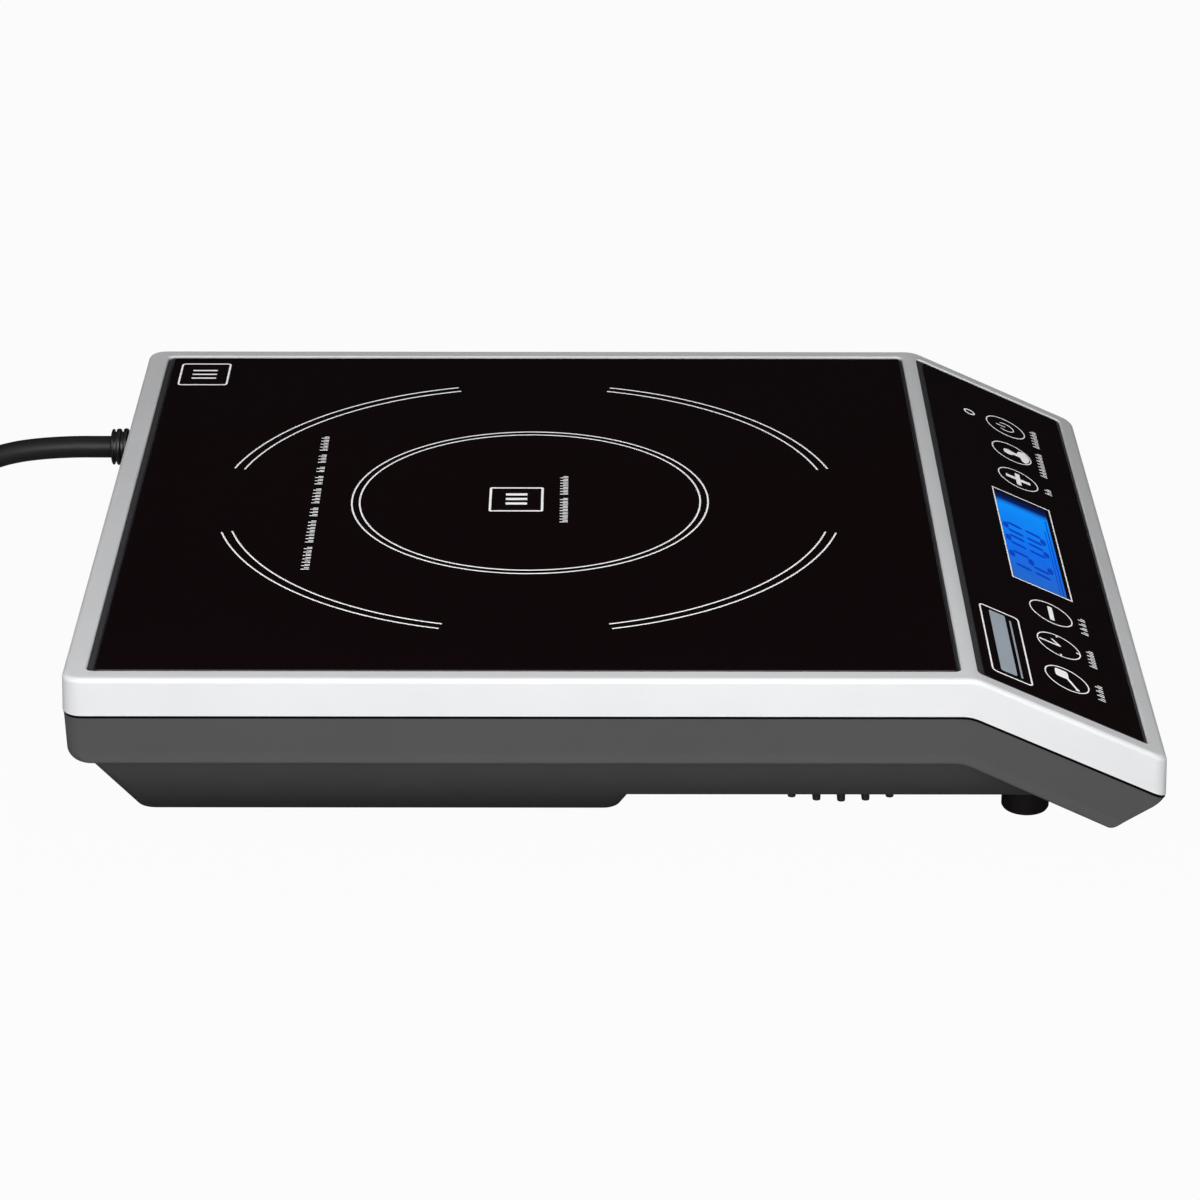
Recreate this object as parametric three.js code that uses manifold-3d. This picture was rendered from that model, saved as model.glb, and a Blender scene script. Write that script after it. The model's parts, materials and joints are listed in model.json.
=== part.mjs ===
// Countertop induction cooktop: a bent silver frame over a dark tray-shaped base, a ceramic glass
// cooking plate, a sloping glass control panel, and the coil, fan and electronics inside.
// Units are millimetres. +Z is up, -Y is the front where the controls are, +X is the user's right.
// The origin is on the surface that the cooktop stands on, under the middle of the housing.

import * as THREE from 'three';
import { mergeVertices } from 'three/addons/utils/BufferGeometryUtils.js';
import Module from 'manifold-3d';

const wasm = await Module();
wasm.setup();

// ---------------------------------------------------------------- driving dimensions

const WIDTH = 300;
const LENGTH = 368.4;
const HEIGHT = 66.5;
const CORNER = 7;
const FRONT_CORNER = 5;
const REAR = LENGTH / 2;
const FRONT = -LENGTH / 2;
const BEND_Y = REAR - 302.8;
const BEND_ROUND = 3;
const BEND_SHIFT = 0.1;
const PANEL_ANGLE = THREE.MathUtils.degToRad(24.6);
const PANEL_SLOPE = Math.tan(PANEL_ANGLE);
const GAP = 0.3;

const SKIRT_DEPTH = 13.4;
const SKIRT_WALL = 2.4;
const SKIRT_DRAFT = 0.5;
const EDGE_RADIUS = 2.4;
const PLATE_DEPTH = 7.6;

const WINDOW_X = 143;
const WINDOW_FRONT = BEND_Y + 4.6;
const WINDOW_REAR = REAR - 7.5;
const BURNER_Y = (WINDOW_FRONT + WINDOW_REAR) / 2;
const GLASS_TOP = HEIGHT - 0.3;
const GLASS_THICK = 4;
const GLASS_SIDE_BEAD = 1.2;
const GLASS_FRONT_BEAD = 1.2;
const GLASS_REAR_BEAD = 2.5;
const POCKET_FLOOR = HEIGHT - 4.9;
const LEDGE = 8;

const PANEL_TOP = 1.1;
const PANEL_END = 65.1;
const PANEL_GLASS_THICK = 3;
const PANEL_POCKET = 3.9;
const PANEL_TOP_BEAD = 2.9;
const PANEL_BEAD = 1.1;
const KEY_LINE = 37.6;
const KEYS_X = [-116.3, -89.8, -63.4, 57, 82.7, 108.5];
const LCD_X = -3;

const BAND_TOP = 13.9;
const BAND_BOTTOM = 32.15;
const BASE_WALL = 2.2;
const TRAY_TOP = HEIGHT - BAND_BOTTOM;
const REAR_FLOOR = 8;
const FRONT_FLOOR = 15.5;
const HOPPER_FRONT = -154;
const STEP_Y = -4.6;
const NOSE_FLARE = 0.023;
const NOSE = { y: -165.5, z: 15.74, radius: 5.2, front: 22.3 };

const FAN = { x: -76, y: -76.7, size: 80, height: 15, bore: 38 };
const GRILLE_RADIUS = 48;
const GRILLE_PITCH = 8.4;
const RIB_WIDTH = 2.8;
const RIB_BOTTOM = 8.3;

const COIL_RADIUS = 88;
const COIL_BOTTOM = 48.8;
const COIL_HEIGHT = 5.5;
const COIL_POST_RADIUS = 98;
const COIL_POST_ANGLES = [90, 210, 330];

const BOARD = { x0: -70, x1: 112, y0: 4, y1: 122, z: 15, thick: 1.6 };
const FEET = [[-112, -141], [112, -141], [-102, 146], [102, 146]];
const FOOT_RADIUS = 8.2;
const SCREWS = [[-125, -113], [125, -113], [-118, 150], [118, 150]];

const CORD_X = 105;
const CORD_Z = 43.4;
const CORD_DIAMETER = 8.5;
const COIL_LIFT = 1;
const CORD_COIL = { x: 49, y: 340, inner: 33.2, outer: 60.8, layers: 2 };
const CORD_COIL_TURN = 56;

// ---------------------------------------------------------------- solids and placing

function solidOf(geometry) {
  const bare = geometry.clone();
  bare.deleteAttribute('normal');
  bare.deleteAttribute('uv');
  const merged = mergeVertices(bare, 1e-4);
  const index = merged.index.array;
  const kept = [];
  for (let i = 0; i < index.length; i += 3) {
    const [a, b, c] = [index[i], index[i + 1], index[i + 2]];
    if (a !== b && b !== c && c !== a) kept.push(a, b, c);
  }
  return new wasm.Manifold(new wasm.Mesh({
    numProp: 3,
    vertProperties: merged.attributes.position.array,
    triVerts: new Uint32Array(kept),
  }));
}

function geometryOf(solid) {
  const mesh = solid.getMesh();
  const geometry = new THREE.BufferGeometry();
  geometry.setAttribute('position', new THREE.BufferAttribute(mesh.vertProperties, 3));
  geometry.setIndex(new THREE.BufferAttribute(mesh.triVerts, 1));
  geometry.computeVertexNormals();
  return geometry;
}

function join(solids) {
  return solids.reduce((whole, piece) => whole.add(piece));
}

function cutAll(solid, cutters) {
  return cutters.reduce((whole, cutter) => whole.subtract(cutter), solid);
}

function block(x0, x1, y0, y1, z0, z1) {
  const geometry = new THREE.BoxGeometry(x1 - x0, y1 - y0, z1 - z0);
  return geometry.translate((x0 + x1) / 2, (y0 + y1) / 2, (z0 + z1) / 2);
}

function cylinder(x, y, radius, z0, z1, sides = 24) {
  const geometry = new THREE.CylinderGeometry(radius, radius, z1 - z0, sides);
  return geometry.rotateX(Math.PI / 2).translate(x, y, (z0 + z1) / 2);
}

// A profile of [radius, height] points turned round the upright axis through (x, y).
function turned(profile, x, y, sides = 32) {
  const points = profile.map(([radius, height]) => new THREE.Vector2(radius, height));
  return new THREE.LatheGeometry(points, sides).rotateX(Math.PI / 2).translate(x, y, 0);
}

// A ring of square section: a closed profile, so it needs no axis points.
function ring(inner, outer, z0, z1, x, y, sides = 32) {
  return turned([[inner, z0], [outer, z0], [outer, z1], [inner, z1], [inner, z0]], x, y, sides);
}

function roundedShape(x0, x1, y0, y1, radius) {
  const shape = new THREE.Shape();
  shape.absarc(x1 - radius, y0 + radius, radius, -Math.PI / 2, 0);
  shape.absarc(x1 - radius, y1 - radius, radius, 0, Math.PI / 2);
  shape.absarc(x0 + radius, y1 - radius, radius, Math.PI / 2, Math.PI);
  shape.absarc(x0 + radius, y0 + radius, radius, Math.PI, Math.PI * 1.5);
  shape.closePath();
  return shape;
}

function slab(x0, x1, y0, y1, radius, z0, z1, curveSegments = 4) {
  const options = { depth: z1 - z0, bevelEnabled: false, curveSegments };
  return new THREE.ExtrudeGeometry(roundedShape(x0, x1, y0, y1, radius), options).translate(0, 0, z0);
}

// A side outline of [y, z] points, extruded across the whole width.
function acrossWidth(outline) {
  const shape = new THREE.Shape(outline.map(([y, z]) => new THREE.Vector2(y, z)));
  const geometry = new THREE.ExtrudeGeometry(shape, { depth: WIDTH + 20, bevelEnabled: false });
  const turn = new THREE.Matrix4().makeBasis(
    new THREE.Vector3(0, 1, 0), new THREE.Vector3(0, 0, 1), new THREE.Vector3(1, 0, 0));
  return geometry.applyMatrix4(turn).translate(-WIDTH / 2 - 10, 0, 0);
}

// ---------------------------------------------------------------- bent and tapered bodies

// How far the bent surface lies below the flat one at y, for a layer at this depth under the top.
// Below the band's top edge the slope grows, so the band is a little deeper at the nose.
function drop(y, depth) {
  const past = BEND_Y + BEND_SHIFT * depth - y;
  const flare = Math.max(0, depth - BAND_TOP) / (BAND_BOTTOM - BAND_TOP) * NOSE_FLARE;
  const slope = PANEL_SLOPE + flare;
  if (past <= -BEND_ROUND) return 0;
  if (past >= BEND_ROUND) return past * slope;
  return slope * (past + BEND_ROUND) ** 2 / (4 * BEND_ROUND);
}

// The right half of the housing outline, front to rear, drawn in by inset.
function halfOutline(inset, depth) {
  const points = [];
  const arc = (corner, end, from) => {
    const radius = Math.max(corner - inset, 1.5);
    const cx = WIDTH / 2 - inset - radius;
    const cy = end - Math.sign(end) * (inset + radius);
    for (let i = 0; i <= 4; i += 1) {
      const angle = THREE.MathUtils.degToRad(from + i * 22.5);
      points.push([cx + radius * Math.cos(angle), cy + radius * Math.sin(angle)]);
    }
  };
  arc(FRONT_CORNER, FRONT, -90);
  for (const step of [-1, -0.5, 0, 0.5, 1]) {
    points.push([WIDTH / 2 - inset, BEND_Y + BEND_SHIFT * depth + step * BEND_ROUND]);
  }
  arc(CORNER, REAR, 0);
  return points;
}

// Triangles of the walls between rings of equal count, bottom to top.
function bandIndex(rows, count) {
  const index = [];
  for (let k = 0; k + 1 < rows; k += 1) {
    const [a, b] = [k * count, (k + 1) * count];
    for (let i = 0; i < count; i += 1) {
      const j = (i + 1) % count;
      index.push(a + i, a + j, b + j, a + i, b + j, b + i);
    }
  }
  return index;
}

function meshOf(rings, index) {
  const geometry = new THREE.BufferGeometry();
  geometry.setAttribute('position', new THREE.Float32BufferAttribute(rings.flat(2), 3));
  geometry.setIndex(index);
  return geometry;
}

// A body made of rings that follow the bent outline; each section has an inset and a depth under
// the top surface, listed from the bottom up.
function bentBody(sections) {
  const rings = sections.map(({ inset, depth }) => {
    const half = halfOutline(inset, depth);
    const place = ([x, y], side) => [side * x, y, HEIGHT - depth - drop(y, depth)];
    return [...half.map((p) => place(p, 1)), ...half.reverse().map((p) => place(p, -1))];
  });
  const count = rings[0].length;
  const index = bandIndex(rings.length, count);
  const top = (rings.length - 1) * count;
  for (let i = 0; i + 1 < count / 2; i += 1) {
    const [right, next] = [i, i + 1];
    const [left, nextLeft] = [count - 1 - i, count - 2 - i];
    index.push(left, next, right, left, nextLeft, next);
    index.push(top + left, top + right, top + next, top + left, top + next, top + nextLeft);
  }
  return meshOf(rings, index);
}

// Quarter-round sections between a side wall and a face, seen as insets and depths.
function edgeSections(inset, depth, radius, steps, upwards) {
  const sections = [];
  for (let i = 0; i <= steps; i += 1) {
    const angle = (i / steps) * Math.PI / 2;
    const inwards = inset + radius * (1 - Math.cos(angle));
    const away = radius * (1 - Math.sin(angle));
    sections.push({ inset: inwards, depth: upwards ? depth + away : depth - away });
  }
  return upwards ? sections : sections.reverse();
}

// A tray body through round-cornered rectangles, listed from the bottom up.
function taperedTray(rectangles, radius) {
  const rings = rectangles.map((rect) => {
    const points = roundedShape(rect.x0, rect.x1, rect.y0, rect.y1, radius).getPoints(3);
    const distinct = points.filter((p, i) => i === 0 || p.distanceTo(points[i - 1]) > 1e-6);
    if (distinct[0].distanceTo(distinct[distinct.length - 1]) < 1e-6) distinct.pop();
    return distinct.map((p) => [p.x, p.y, rect.z]);
  });
  const count = rings[0].length;
  const top = (rings.length - 1) * count;
  const index = bandIndex(rings.length, count);
  for (let i = 1; i + 1 < count; i += 1) {
    index.push(0, i + 1, i, top, top + i, top + i + 1);
  }
  return meshOf(rings, index);
}

const panelPlace = new THREE.Matrix4().makeRotationX(PANEL_ANGLE);
panelPlace.setPosition(0, BEND_Y, HEIGHT);

// A slab drawn flat on the panel: s runs down its slope from the bend, z stands out of it.
function panelSlab(x0, x1, s0, s1, radius, z0, z1) {
  return slab(x0, x1, -s1, -s0, radius, z0, z1);
}

// ---------------------------------------------------------------- the object's tree

const cooktop = new THREE.Group();
const panel = new THREE.Group();
panel.rotation.x = PANEL_ANGLE;
panel.position.set(0, BEND_Y, HEIGHT);
cooktop.add(panel);

function finish(color, roughness, metalness = 0) {
  return new THREE.MeshStandardMaterial({ color, roughness, metalness });
}

function addPart(name, shape, material, parent = cooktop) {
  const geometry = shape instanceof THREE.BufferGeometry ? geometryOf(solidOf(shape)) : geometryOf(shape);
  const mesh = new THREE.Mesh(geometry, material);
  mesh.name = name;
  parent.add(mesh);
  return mesh;
}

// ---------------------------------------------------------------- housing

function topFrame() {
  const body = solidOf(bentBody([
    { inset: 0, depth: SKIRT_DEPTH },
    ...edgeSections(SKIRT_DRAFT, 0, EDGE_RADIUS, 3, true),
  ]));
  const hollow = bentBody([
    { inset: SKIRT_WALL, depth: SKIRT_DEPTH + 5 },
    { inset: SKIRT_WALL, depth: PLATE_DEPTH },
  ]);
  const windowPocket = slab(-WINDOW_X, WINDOW_X, WINDOW_FRONT, WINDOW_REAR, 2.5, POCKET_FLOOR, HEIGHT + 2);
  const windowHole = slab(-WINDOW_X + LEDGE, WINDOW_X - LEDGE, WINDOW_FRONT + 7, WINDOW_REAR - LEDGE,
    4, HEIGHT - 12, HEIGHT);
  const panelPocket = panelSlab(-WINDOW_X, WINDOW_X, PANEL_TOP, PANEL_END, 2, -PANEL_POCKET, 3);
  const panelHole = panelSlab(-WINDOW_X + 6, WINDOW_X - 6, 6, 60, 3, -16, 0);
  const open = cutAll(body, [
    solidOf(hollow), solidOf(windowPocket), solidOf(windowHole),
    solidOf(panelPocket.applyMatrix4(panelPlace)), solidOf(panelHole.applyMatrix4(panelPlace)),
  ]);
  const posts = SCREWS.map(([x, y], i) => {
    const floor = i < 2 ? FRONT_FLOOR : REAR_FLOOR;
    const post = solidOf(cylinder(x, y, 4.5, floor + 7.3, HEIGHT - 7, 16));
    const pilot = solidOf(cylinder(x, y, 1.95, floor, floor + 20, 12));
    if (i < 2) return post.subtract(pilot);
    const gusset = solidOf(block(x - 5, x + 5, y - 5, WINDOW_REAR - 1, HEIGHT - 11.6, HEIGHT - 7));
    return post.add(gusset).subtract(pilot);
  });
  return join([open, ...posts]);
}

function bandSections() {
  return [
    ...edgeSections(1.7, BAND_BOTTOM, 3, 3, false),
    { inset: 0.4, depth: BAND_TOP },
    { inset: SKIRT_WALL + GAP, depth: BAND_TOP },
    { inset: SKIRT_WALL + GAP, depth: PLATE_DEPTH + 2.3 },
  ];
}

// The slanting underside of the nose, from the front edge back round the nose's lowest line.
function noseCut(inwards) {
  const outline = [[FRONT + inwards, NOSE.front + inwards]];
  for (const degrees of [-34.6, -19.5, -4.4, 10.6, 25.7]) {
    const angle = THREE.MathUtils.degToRad(degrees);
    const [y, z] = [NOSE.y + NOSE.radius * Math.sin(angle), NOSE.z - NOSE.radius * Math.cos(angle)];
    outline.push([y + inwards, z + inwards]);
  }
  outline.push([-158 + inwards, 9 + inwards], [-158, -20], [FRONT - 30, -20]);
  outline.push([FRONT - 30, NOSE.front + inwards]);
  return acrossWidth(outline);
}

function trays(wall) {
  const lean = 14.5 / (TRAY_TOP - REAR_FLOOR);
  const top = TRAY_TOP + (wall ? 4 : -0.5);
  const side = (z) => 144.5 - (TRAY_TOP - z) * lean - wall;
  const back = (z) => 178.9 - (TRAY_TOP - z) * 0.6 - wall;
  const rectangle = (z, y0) => ({ x0: -side(z), x1: side(z), y0, y1: back(z), z });
  const stepLean = (FRONT_FLOOR - REAR_FLOOR) * 0.55;
  const rear = taperedTray([
    rectangle(REAR_FLOOR + wall, STEP_Y + stepLean + wall),
    rectangle(FRONT_FLOOR + wall, STEP_Y + wall), rectangle(top, STEP_Y + wall)], 5);
  const front = taperedTray([
    rectangle(FRONT_FLOOR + wall, HOPPER_FRONT + wall), rectangle(top, HOPPER_FRONT + wall)], 5);
  return solidOf(rear).add(solidOf(front));
}

function baseShell() {
  const outer = solidOf(bentBody(bandSections())).add(trays(0)).subtract(solidOf(noseCut(0)));
  const inner = solidOf(bentBody([
    { inset: 1.7 + BASE_WALL, depth: BAND_BOTTOM - BASE_WALL },
    { inset: 1.3 + BASE_WALL, depth: 20 },
    { inset: 4.4, depth: 18.5 },
    { inset: 4.4, depth: 5 },
  ])).subtract(solidOf(noseCut(BASE_WALL))).add(trays(BASE_WALL));
  const shell = outer.subtract(inner);
  const additions = [];
  const cutters = [solidOf(cylinder(FAN.x, FAN.y, 44, 0, 25, 32))];
  SCREWS.forEach(([x, y], i) => {
    const floor = i < 2 ? FRONT_FLOOR : REAR_FLOOR;
    additions.push(solidOf(cylinder(x, y, 6.6, floor + 1, floor + 7, 16)));
    cutters.push(solidOf(cylinder(x, y, 4.6, floor - 1, floor + 4.5, 16)));
    cutters.push(solidOf(cylinder(x, y, 2.2, floor, floor + 9, 12)));
  });
  FEET.forEach(([x, y], i) => {
    const floor = i < 2 ? FRONT_FLOOR : REAR_FLOOR;
    cutters.push(solidOf(cylinder(x, y, 3.1, floor - 1, floor + 4, 12)));
  });
  for (const degrees of COIL_POST_ANGLES) {
    const angle = THREE.MathUtils.degToRad(degrees);
    const [x, y] = [COIL_POST_RADIUS * Math.cos(angle), BURNER_Y + COIL_POST_RADIUS * Math.sin(angle)];
    const floor = y < STEP_Y ? FRONT_FLOOR : REAR_FLOOR;
    additions.push(solidOf(cylinder(x, y, 4, floor + 1, COIL_BOTTOM - 3.1, 12)));
  }
  for (const [x, y] of [[BOARD.x0 + 5, BOARD.y0 + 5], [BOARD.x1 - 5, BOARD.y0 + 5],
    [BOARD.x0 + 5, BOARD.y1 - 5], [BOARD.x1 - 5, BOARD.y1 - 5]]) {
    additions.push(solidOf(cylinder(x, y, 3.5, REAR_FLOOR + 1, BOARD.z - GAP, 12)));
  }
  for (let x = -80; x <= 80; x += 10) {
    cutters.push(solidOf(block(x - 1.8, x + 1.8, 150, 190, 14, 29)));
  }
  const cordHole = cylinder(CORD_X, -CORD_Z, 5.8, REAR - 12, REAR + 5, 16);
  cutters.push(solidOf(cordHole.rotateX(-Math.PI / 2)));
  return cutAll(join([shell, ...additions]), cutters);
}

function intakeGrille() {
  const flange = solidOf(ring(41.5, GRILLE_RADIUS, FRONT_FLOOR - 2, FRONT_FLOOR - GAP, FAN.x, FAN.y, 32));
  const collar = solidOf(ring(41.5, 43.6, FRONT_FLOOR - 1, FRONT_FLOOR + 2, FAN.x, FAN.y, 32));
  const ribs = [];
  for (let i = -5; i <= 5; i += 1) {
    const y = FAN.y + i * GRILLE_PITCH;
    const half = Math.sqrt(GRILLE_RADIUS ** 2 - (i * GRILLE_PITCH) ** 2) - 0.4;
    const [y0, y1] = [y - RIB_WIDTH / 2, y + RIB_WIDTH / 2];
    const bar = slab(FAN.x - half, FAN.x + half, y0, y1, RIB_WIDTH / 2 - 0.05,
      RIB_BOTTOM, FRONT_FLOOR - 1, 2);
    ribs.push(solidOf(bar));
  }
  return join([flange, collar, ...ribs]);
}

function foot(x, y, floor) {
  return turned([
    [0, 0], [FOOT_RADIUS - 1, 0], [FOOT_RADIUS, 1], [FOOT_RADIUS, floor - GAP], [2.8, floor - GAP],
    [2.8, floor + 2.6], [3.7, floor + 2.8], [2.2, floor + 5.5], [0, floor + 5.5]], x, y, 20);
}

function housingScrew(x, y, floor) {
  const head = floor + 1.8;
  return turned([
    [0, head], [3.6, head], [3.8, head + 1], [3.8, head + 2.4], [1.7, head + 2.4],
    [1.7, floor + 15.5], [0, floor + 17]], x, y, 12);
}

// ---------------------------------------------------------------- cooking plate

function glassPlate() {
  return slab(-WINDOW_X + GLASS_SIDE_BEAD, WINDOW_X - GLASS_SIDE_BEAD, WINDOW_FRONT + GLASS_FRONT_BEAD,
    WINDOW_REAR - GLASS_REAR_BEAD, 1.6, GLASS_TOP - GLASS_THICK, GLASS_TOP);
}

// A silicone bead: the pocket's outline less the glass's outline, with a small gap to both.
function glassGasket() {
  const slip = 0.15;
  const outer = slab(-WINDOW_X + slip, WINDOW_X - slip, WINDOW_FRONT + slip, WINDOW_REAR - slip,
    2.4, POCKET_FLOOR + GAP, HEIGHT - 0.6);
  const inner = slab(-WINDOW_X + GLASS_SIDE_BEAD - slip, WINDOW_X - GLASS_SIDE_BEAD + slip,
    WINDOW_FRONT + GLASS_FRONT_BEAD - slip, WINDOW_REAR - GLASS_REAR_BEAD + slip,
    1.7, POCKET_FLOOR - 1, HEIGHT);
  return solidOf(outer).subtract(solidOf(inner));
}

function coilCarrier() {
  const plate = solidOf(cylinder(0, BURNER_Y, COIL_RADIUS, COIL_BOTTOM - 2.8, COIL_BOTTOM - GAP, 48));
  const arms = COIL_POST_ANGLES.map((degrees) => {
    const arm = block(0, COIL_POST_RADIUS + 5, -6, 6, COIL_BOTTOM - 2.8, COIL_BOTTOM - GAP);
    return solidOf(arm.rotateZ(THREE.MathUtils.degToRad(degrees)).translate(0, BURNER_Y, 0));
  });
  return join([plate, ...arms]).subtract(solidOf(cylinder(0, BURNER_Y, 14, 40, 60, 24)));
}

function ferriteBar(number) {
  const bar = block(24, 82, -7, 7, COIL_BOTTOM - 7.6, COIL_BOTTOM - 3.1);
  const angle = THREE.MathUtils.degToRad(60 * number);
  return bar.rotateZ(angle).translate(0, BURNER_Y, 0);
}

function coilWinding() {
  return ring(20, COIL_RADIUS, COIL_BOTTOM, COIL_BOTTOM + COIL_HEIGHT, 0, BURNER_Y, 48);
}

function micaSheet() {
  const z0 = COIL_BOTTOM + COIL_HEIGHT + GAP;
  return ring(7, COIL_RADIUS + 2, z0, z0 + 0.8, 0, BURNER_Y, 48);
}

function thermalSensor() {
  return turned([
    [0, COIL_BOTTOM], [6, COIL_BOTTOM], [6, COIL_BOTTOM + 4], [4.6, COIL_BOTTOM + 4.6],
    [4.6, GLASS_TOP - GLASS_THICK - 2], [3.4, GLASS_TOP - GLASS_THICK - GAP],
    [0, GLASS_TOP - GLASS_THICK - GAP]], 0, BURNER_Y, 20);
}

// ---------------------------------------------------------------- control panel, in its own frame

function controlGlass() {
  return panelSlab(-WINDOW_X + PANEL_BEAD, WINDOW_X - PANEL_BEAD, PANEL_TOP + PANEL_TOP_BEAD,
    PANEL_END - PANEL_BEAD, 1.5, -GAP - PANEL_GLASS_THICK, -GAP);
}

function controlGasket() {
  const slip = 0.2;
  const outer = panelSlab(-WINDOW_X + slip, WINDOW_X - slip, PANEL_TOP + slip, PANEL_END - slip,
    1.8, -PANEL_POCKET + GAP, -0.6);
  const inner = panelSlab(-WINDOW_X + PANEL_BEAD - slip, WINDOW_X - PANEL_BEAD + slip,
    PANEL_TOP + PANEL_TOP_BEAD - slip, PANEL_END - PANEL_BEAD + slip, 1.6, -8, 0);
  return solidOf(outer).subtract(solidOf(inner));
}

// The display and the light guide under it have the same outline.
function displayLayer(z0, z1) {
  return panelSlab(LCD_X - 43, LCD_X + 43, 21.6, 51.7, 1, z0, z1);
}

function panelCarrier() {
  const plate = panelSlab(-134, 134, 10, 60, 3, -17, -14.8);
  const opening = panelSlab(-60, 60, 20, 50, 3, -20, -10);
  return solidOf(plate).subtract(solidOf(opening));
}

function touchSpring(x) {
  return ring(3.6, 4.8, -12.3, -3.7, x, -KEY_LINE, 14);
}

// ---------------------------------------------------------------- fan

function fanFrame() {
  const half = FAN.size / 2;
  const z0 = FRONT_FLOOR + BASE_WALL + 0.4;
  const z1 = z0 + FAN.height;
  const body = slab(FAN.x - half, FAN.x + half, FAN.y - half, FAN.y + half, 4, z0, z1);
  const bore = solidOf(cylinder(FAN.x, FAN.y, FAN.bore, z0 - 1, z1 + 1, 32));
  const spokes = [0, 60, 120].map((degrees) => {
    const spoke = block(-FAN.bore - 1, FAN.bore + 1, -1.6, 1.6, z1 - 2.4, z1);
    return solidOf(spoke.rotateZ(THREE.MathUtils.degToRad(degrees)).translate(FAN.x, FAN.y, 0));
  });
  const seat = solidOf(cylinder(FAN.x, FAN.y, 15, z1 - 2.4, z1, 24));
  const shaftHole = solidOf(cylinder(FAN.x, FAN.y, 1.6, z1 - 5, z1 + 1, 16));
  const corners = [-1, 1].flatMap((sx) => [-1, 1].map((sy) => solidOf(
    cylinder(FAN.x + sx * 35.7, FAN.y + sy * 35.7, 2.1, z0 - 1, z1 + 1, 12))));
  const ringed = cutAll(solidOf(body), [bore, ...corners]);
  return join([ringed, seat, ...spokes]).subtract(shaftHole);
}

function fanStator() {
  const z1 = FRONT_FLOOR + BASE_WALL + 0.4 + FAN.height - 2.4;
  return ring(1.6, 12.4, z1 - 7.5, z1 - GAP, FAN.x, FAN.y, 16);
}

function fanRotor() {
  const z0 = FRONT_FLOOR + BASE_WALL + 1.4;
  const hub = solidOf(turned([
    [0, z0], [14.5, z0], [16, z0 + 1.5], [16, z0 + 10.8], [14.2, z0 + 10.8], [14.2, z0 + 2],
    [1.5, z0 + 2], [1.5, z0 + 13.2], [0, z0 + 13.2]], FAN.x, FAN.y, 32));
  const blades = [];
  for (let i = 0; i < 7; i += 1) {
    const blade = block(15.2, 36, -0.8, 0.8, -7, 7);
    blade.rotateX(THREE.MathUtils.degToRad(52));
    blade.rotateZ(THREE.MathUtils.degToRad(i * 360 / 7));
    blades.push(solidOf(blade.translate(FAN.x, FAN.y, z0 + 5.6)));
  }
  return join([hub, ...blades]);
}

// ---------------------------------------------------------------- power electronics

function powerBoard() {
  return slab(BOARD.x0, BOARD.x1, BOARD.y0, BOARD.y1, 2, BOARD.z, BOARD.z + BOARD.thick, 2);
}

function heatsink() {
  const [x0, x1, y0, y1] = [-38, 30, 30, 96];
  const fins = [];
  for (let i = 0; i <= 9; i += 1) {
    const x = x0 + 0.8 + i * (x1 - x0 - 1.6) / 9;
    fins.push(solidOf(block(x - 0.8, x + 0.8, y0, y1, 25, 38.5)));
  }
  return join([solidOf(block(x0, x1, y0, y1, 22.2, 26)), ...fins]);
}

function onBoard(x0, x1, y0, y1, height) {
  const z = BOARD.z + BOARD.thick + GAP;
  return block(x0, x1, y0, y1, z, z + height);
}

function fuse() {
  return cylinder(84, -(BOARD.z + 6), 2.6, 94, 114, 12).rotateX(-Math.PI / 2);
}

// ---------------------------------------------------------------- mains cord and plug

// The route of the cord from the strain relief to the coil: straight out, then down to the table.
const CORD_ROUTE = [
  [105, 196.3, 43.4], [105, 202.2, 43.4], [105, 208.2, 43.4], [105, 214.4, 43.2], [105, 220.8, 42.8],
  [105, 227.5, 42.1], [105, 234.5, 40.9], [105, 241.5, 38.9], [105, 248.5, 35.8], [105, 255.2, 31.7],
  [105, 261.7, 26.8], [105, 268.2, 21.7], [105, 275, 16.8], [105, 282.2, 12.4], [105, 289.9, 9],
  [105, 298, 6.8], [105, 307, 5.6],
].map(([x, y, z]) => new THREE.Vector3(x, y, z));

function powerCord() {
  const section = new THREE.Shape();
  section.absarc(0, 0, CORD_DIAMETER / 2, 0, Math.PI * 2);
  const path = new THREE.CatmullRomCurve3(CORD_ROUTE, false, 'centripetal');
  return new THREE.ExtrudeGeometry(section, { steps: 18, curveSegments: 5, extrudePath: path });
}

function cordCoil() {
  const height = CORD_COIL.layers * CORD_DIAMETER + 0.2;
  return ring(CORD_COIL.inner, CORD_COIL.outer, COIL_LIFT, COIL_LIFT + height,
    CORD_COIL.x, CORD_COIL.y, 40);
}

function cordTie() {
  const height = CORD_COIL.layers * CORD_DIAMETER + 0.2;
  const [inner, outer] = [CORD_COIL.inner - 0.6, CORD_COIL.outer + 0.4];
  const around = solidOf(block(inner - 0.9, outer + 0.9, -5, 5, 0.05, COIL_LIFT + height + 1.2));
  const hole = solidOf(block(inner, outer, -6, 6, 0.75, COIL_LIFT + height + 0.3));
  const loop = around.subtract(hole);
  const geometry = geometryOf(loop).rotateZ(THREE.MathUtils.degToRad(225));
  return geometry.translate(CORD_COIL.x, CORD_COIL.y, 0);
}

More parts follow.
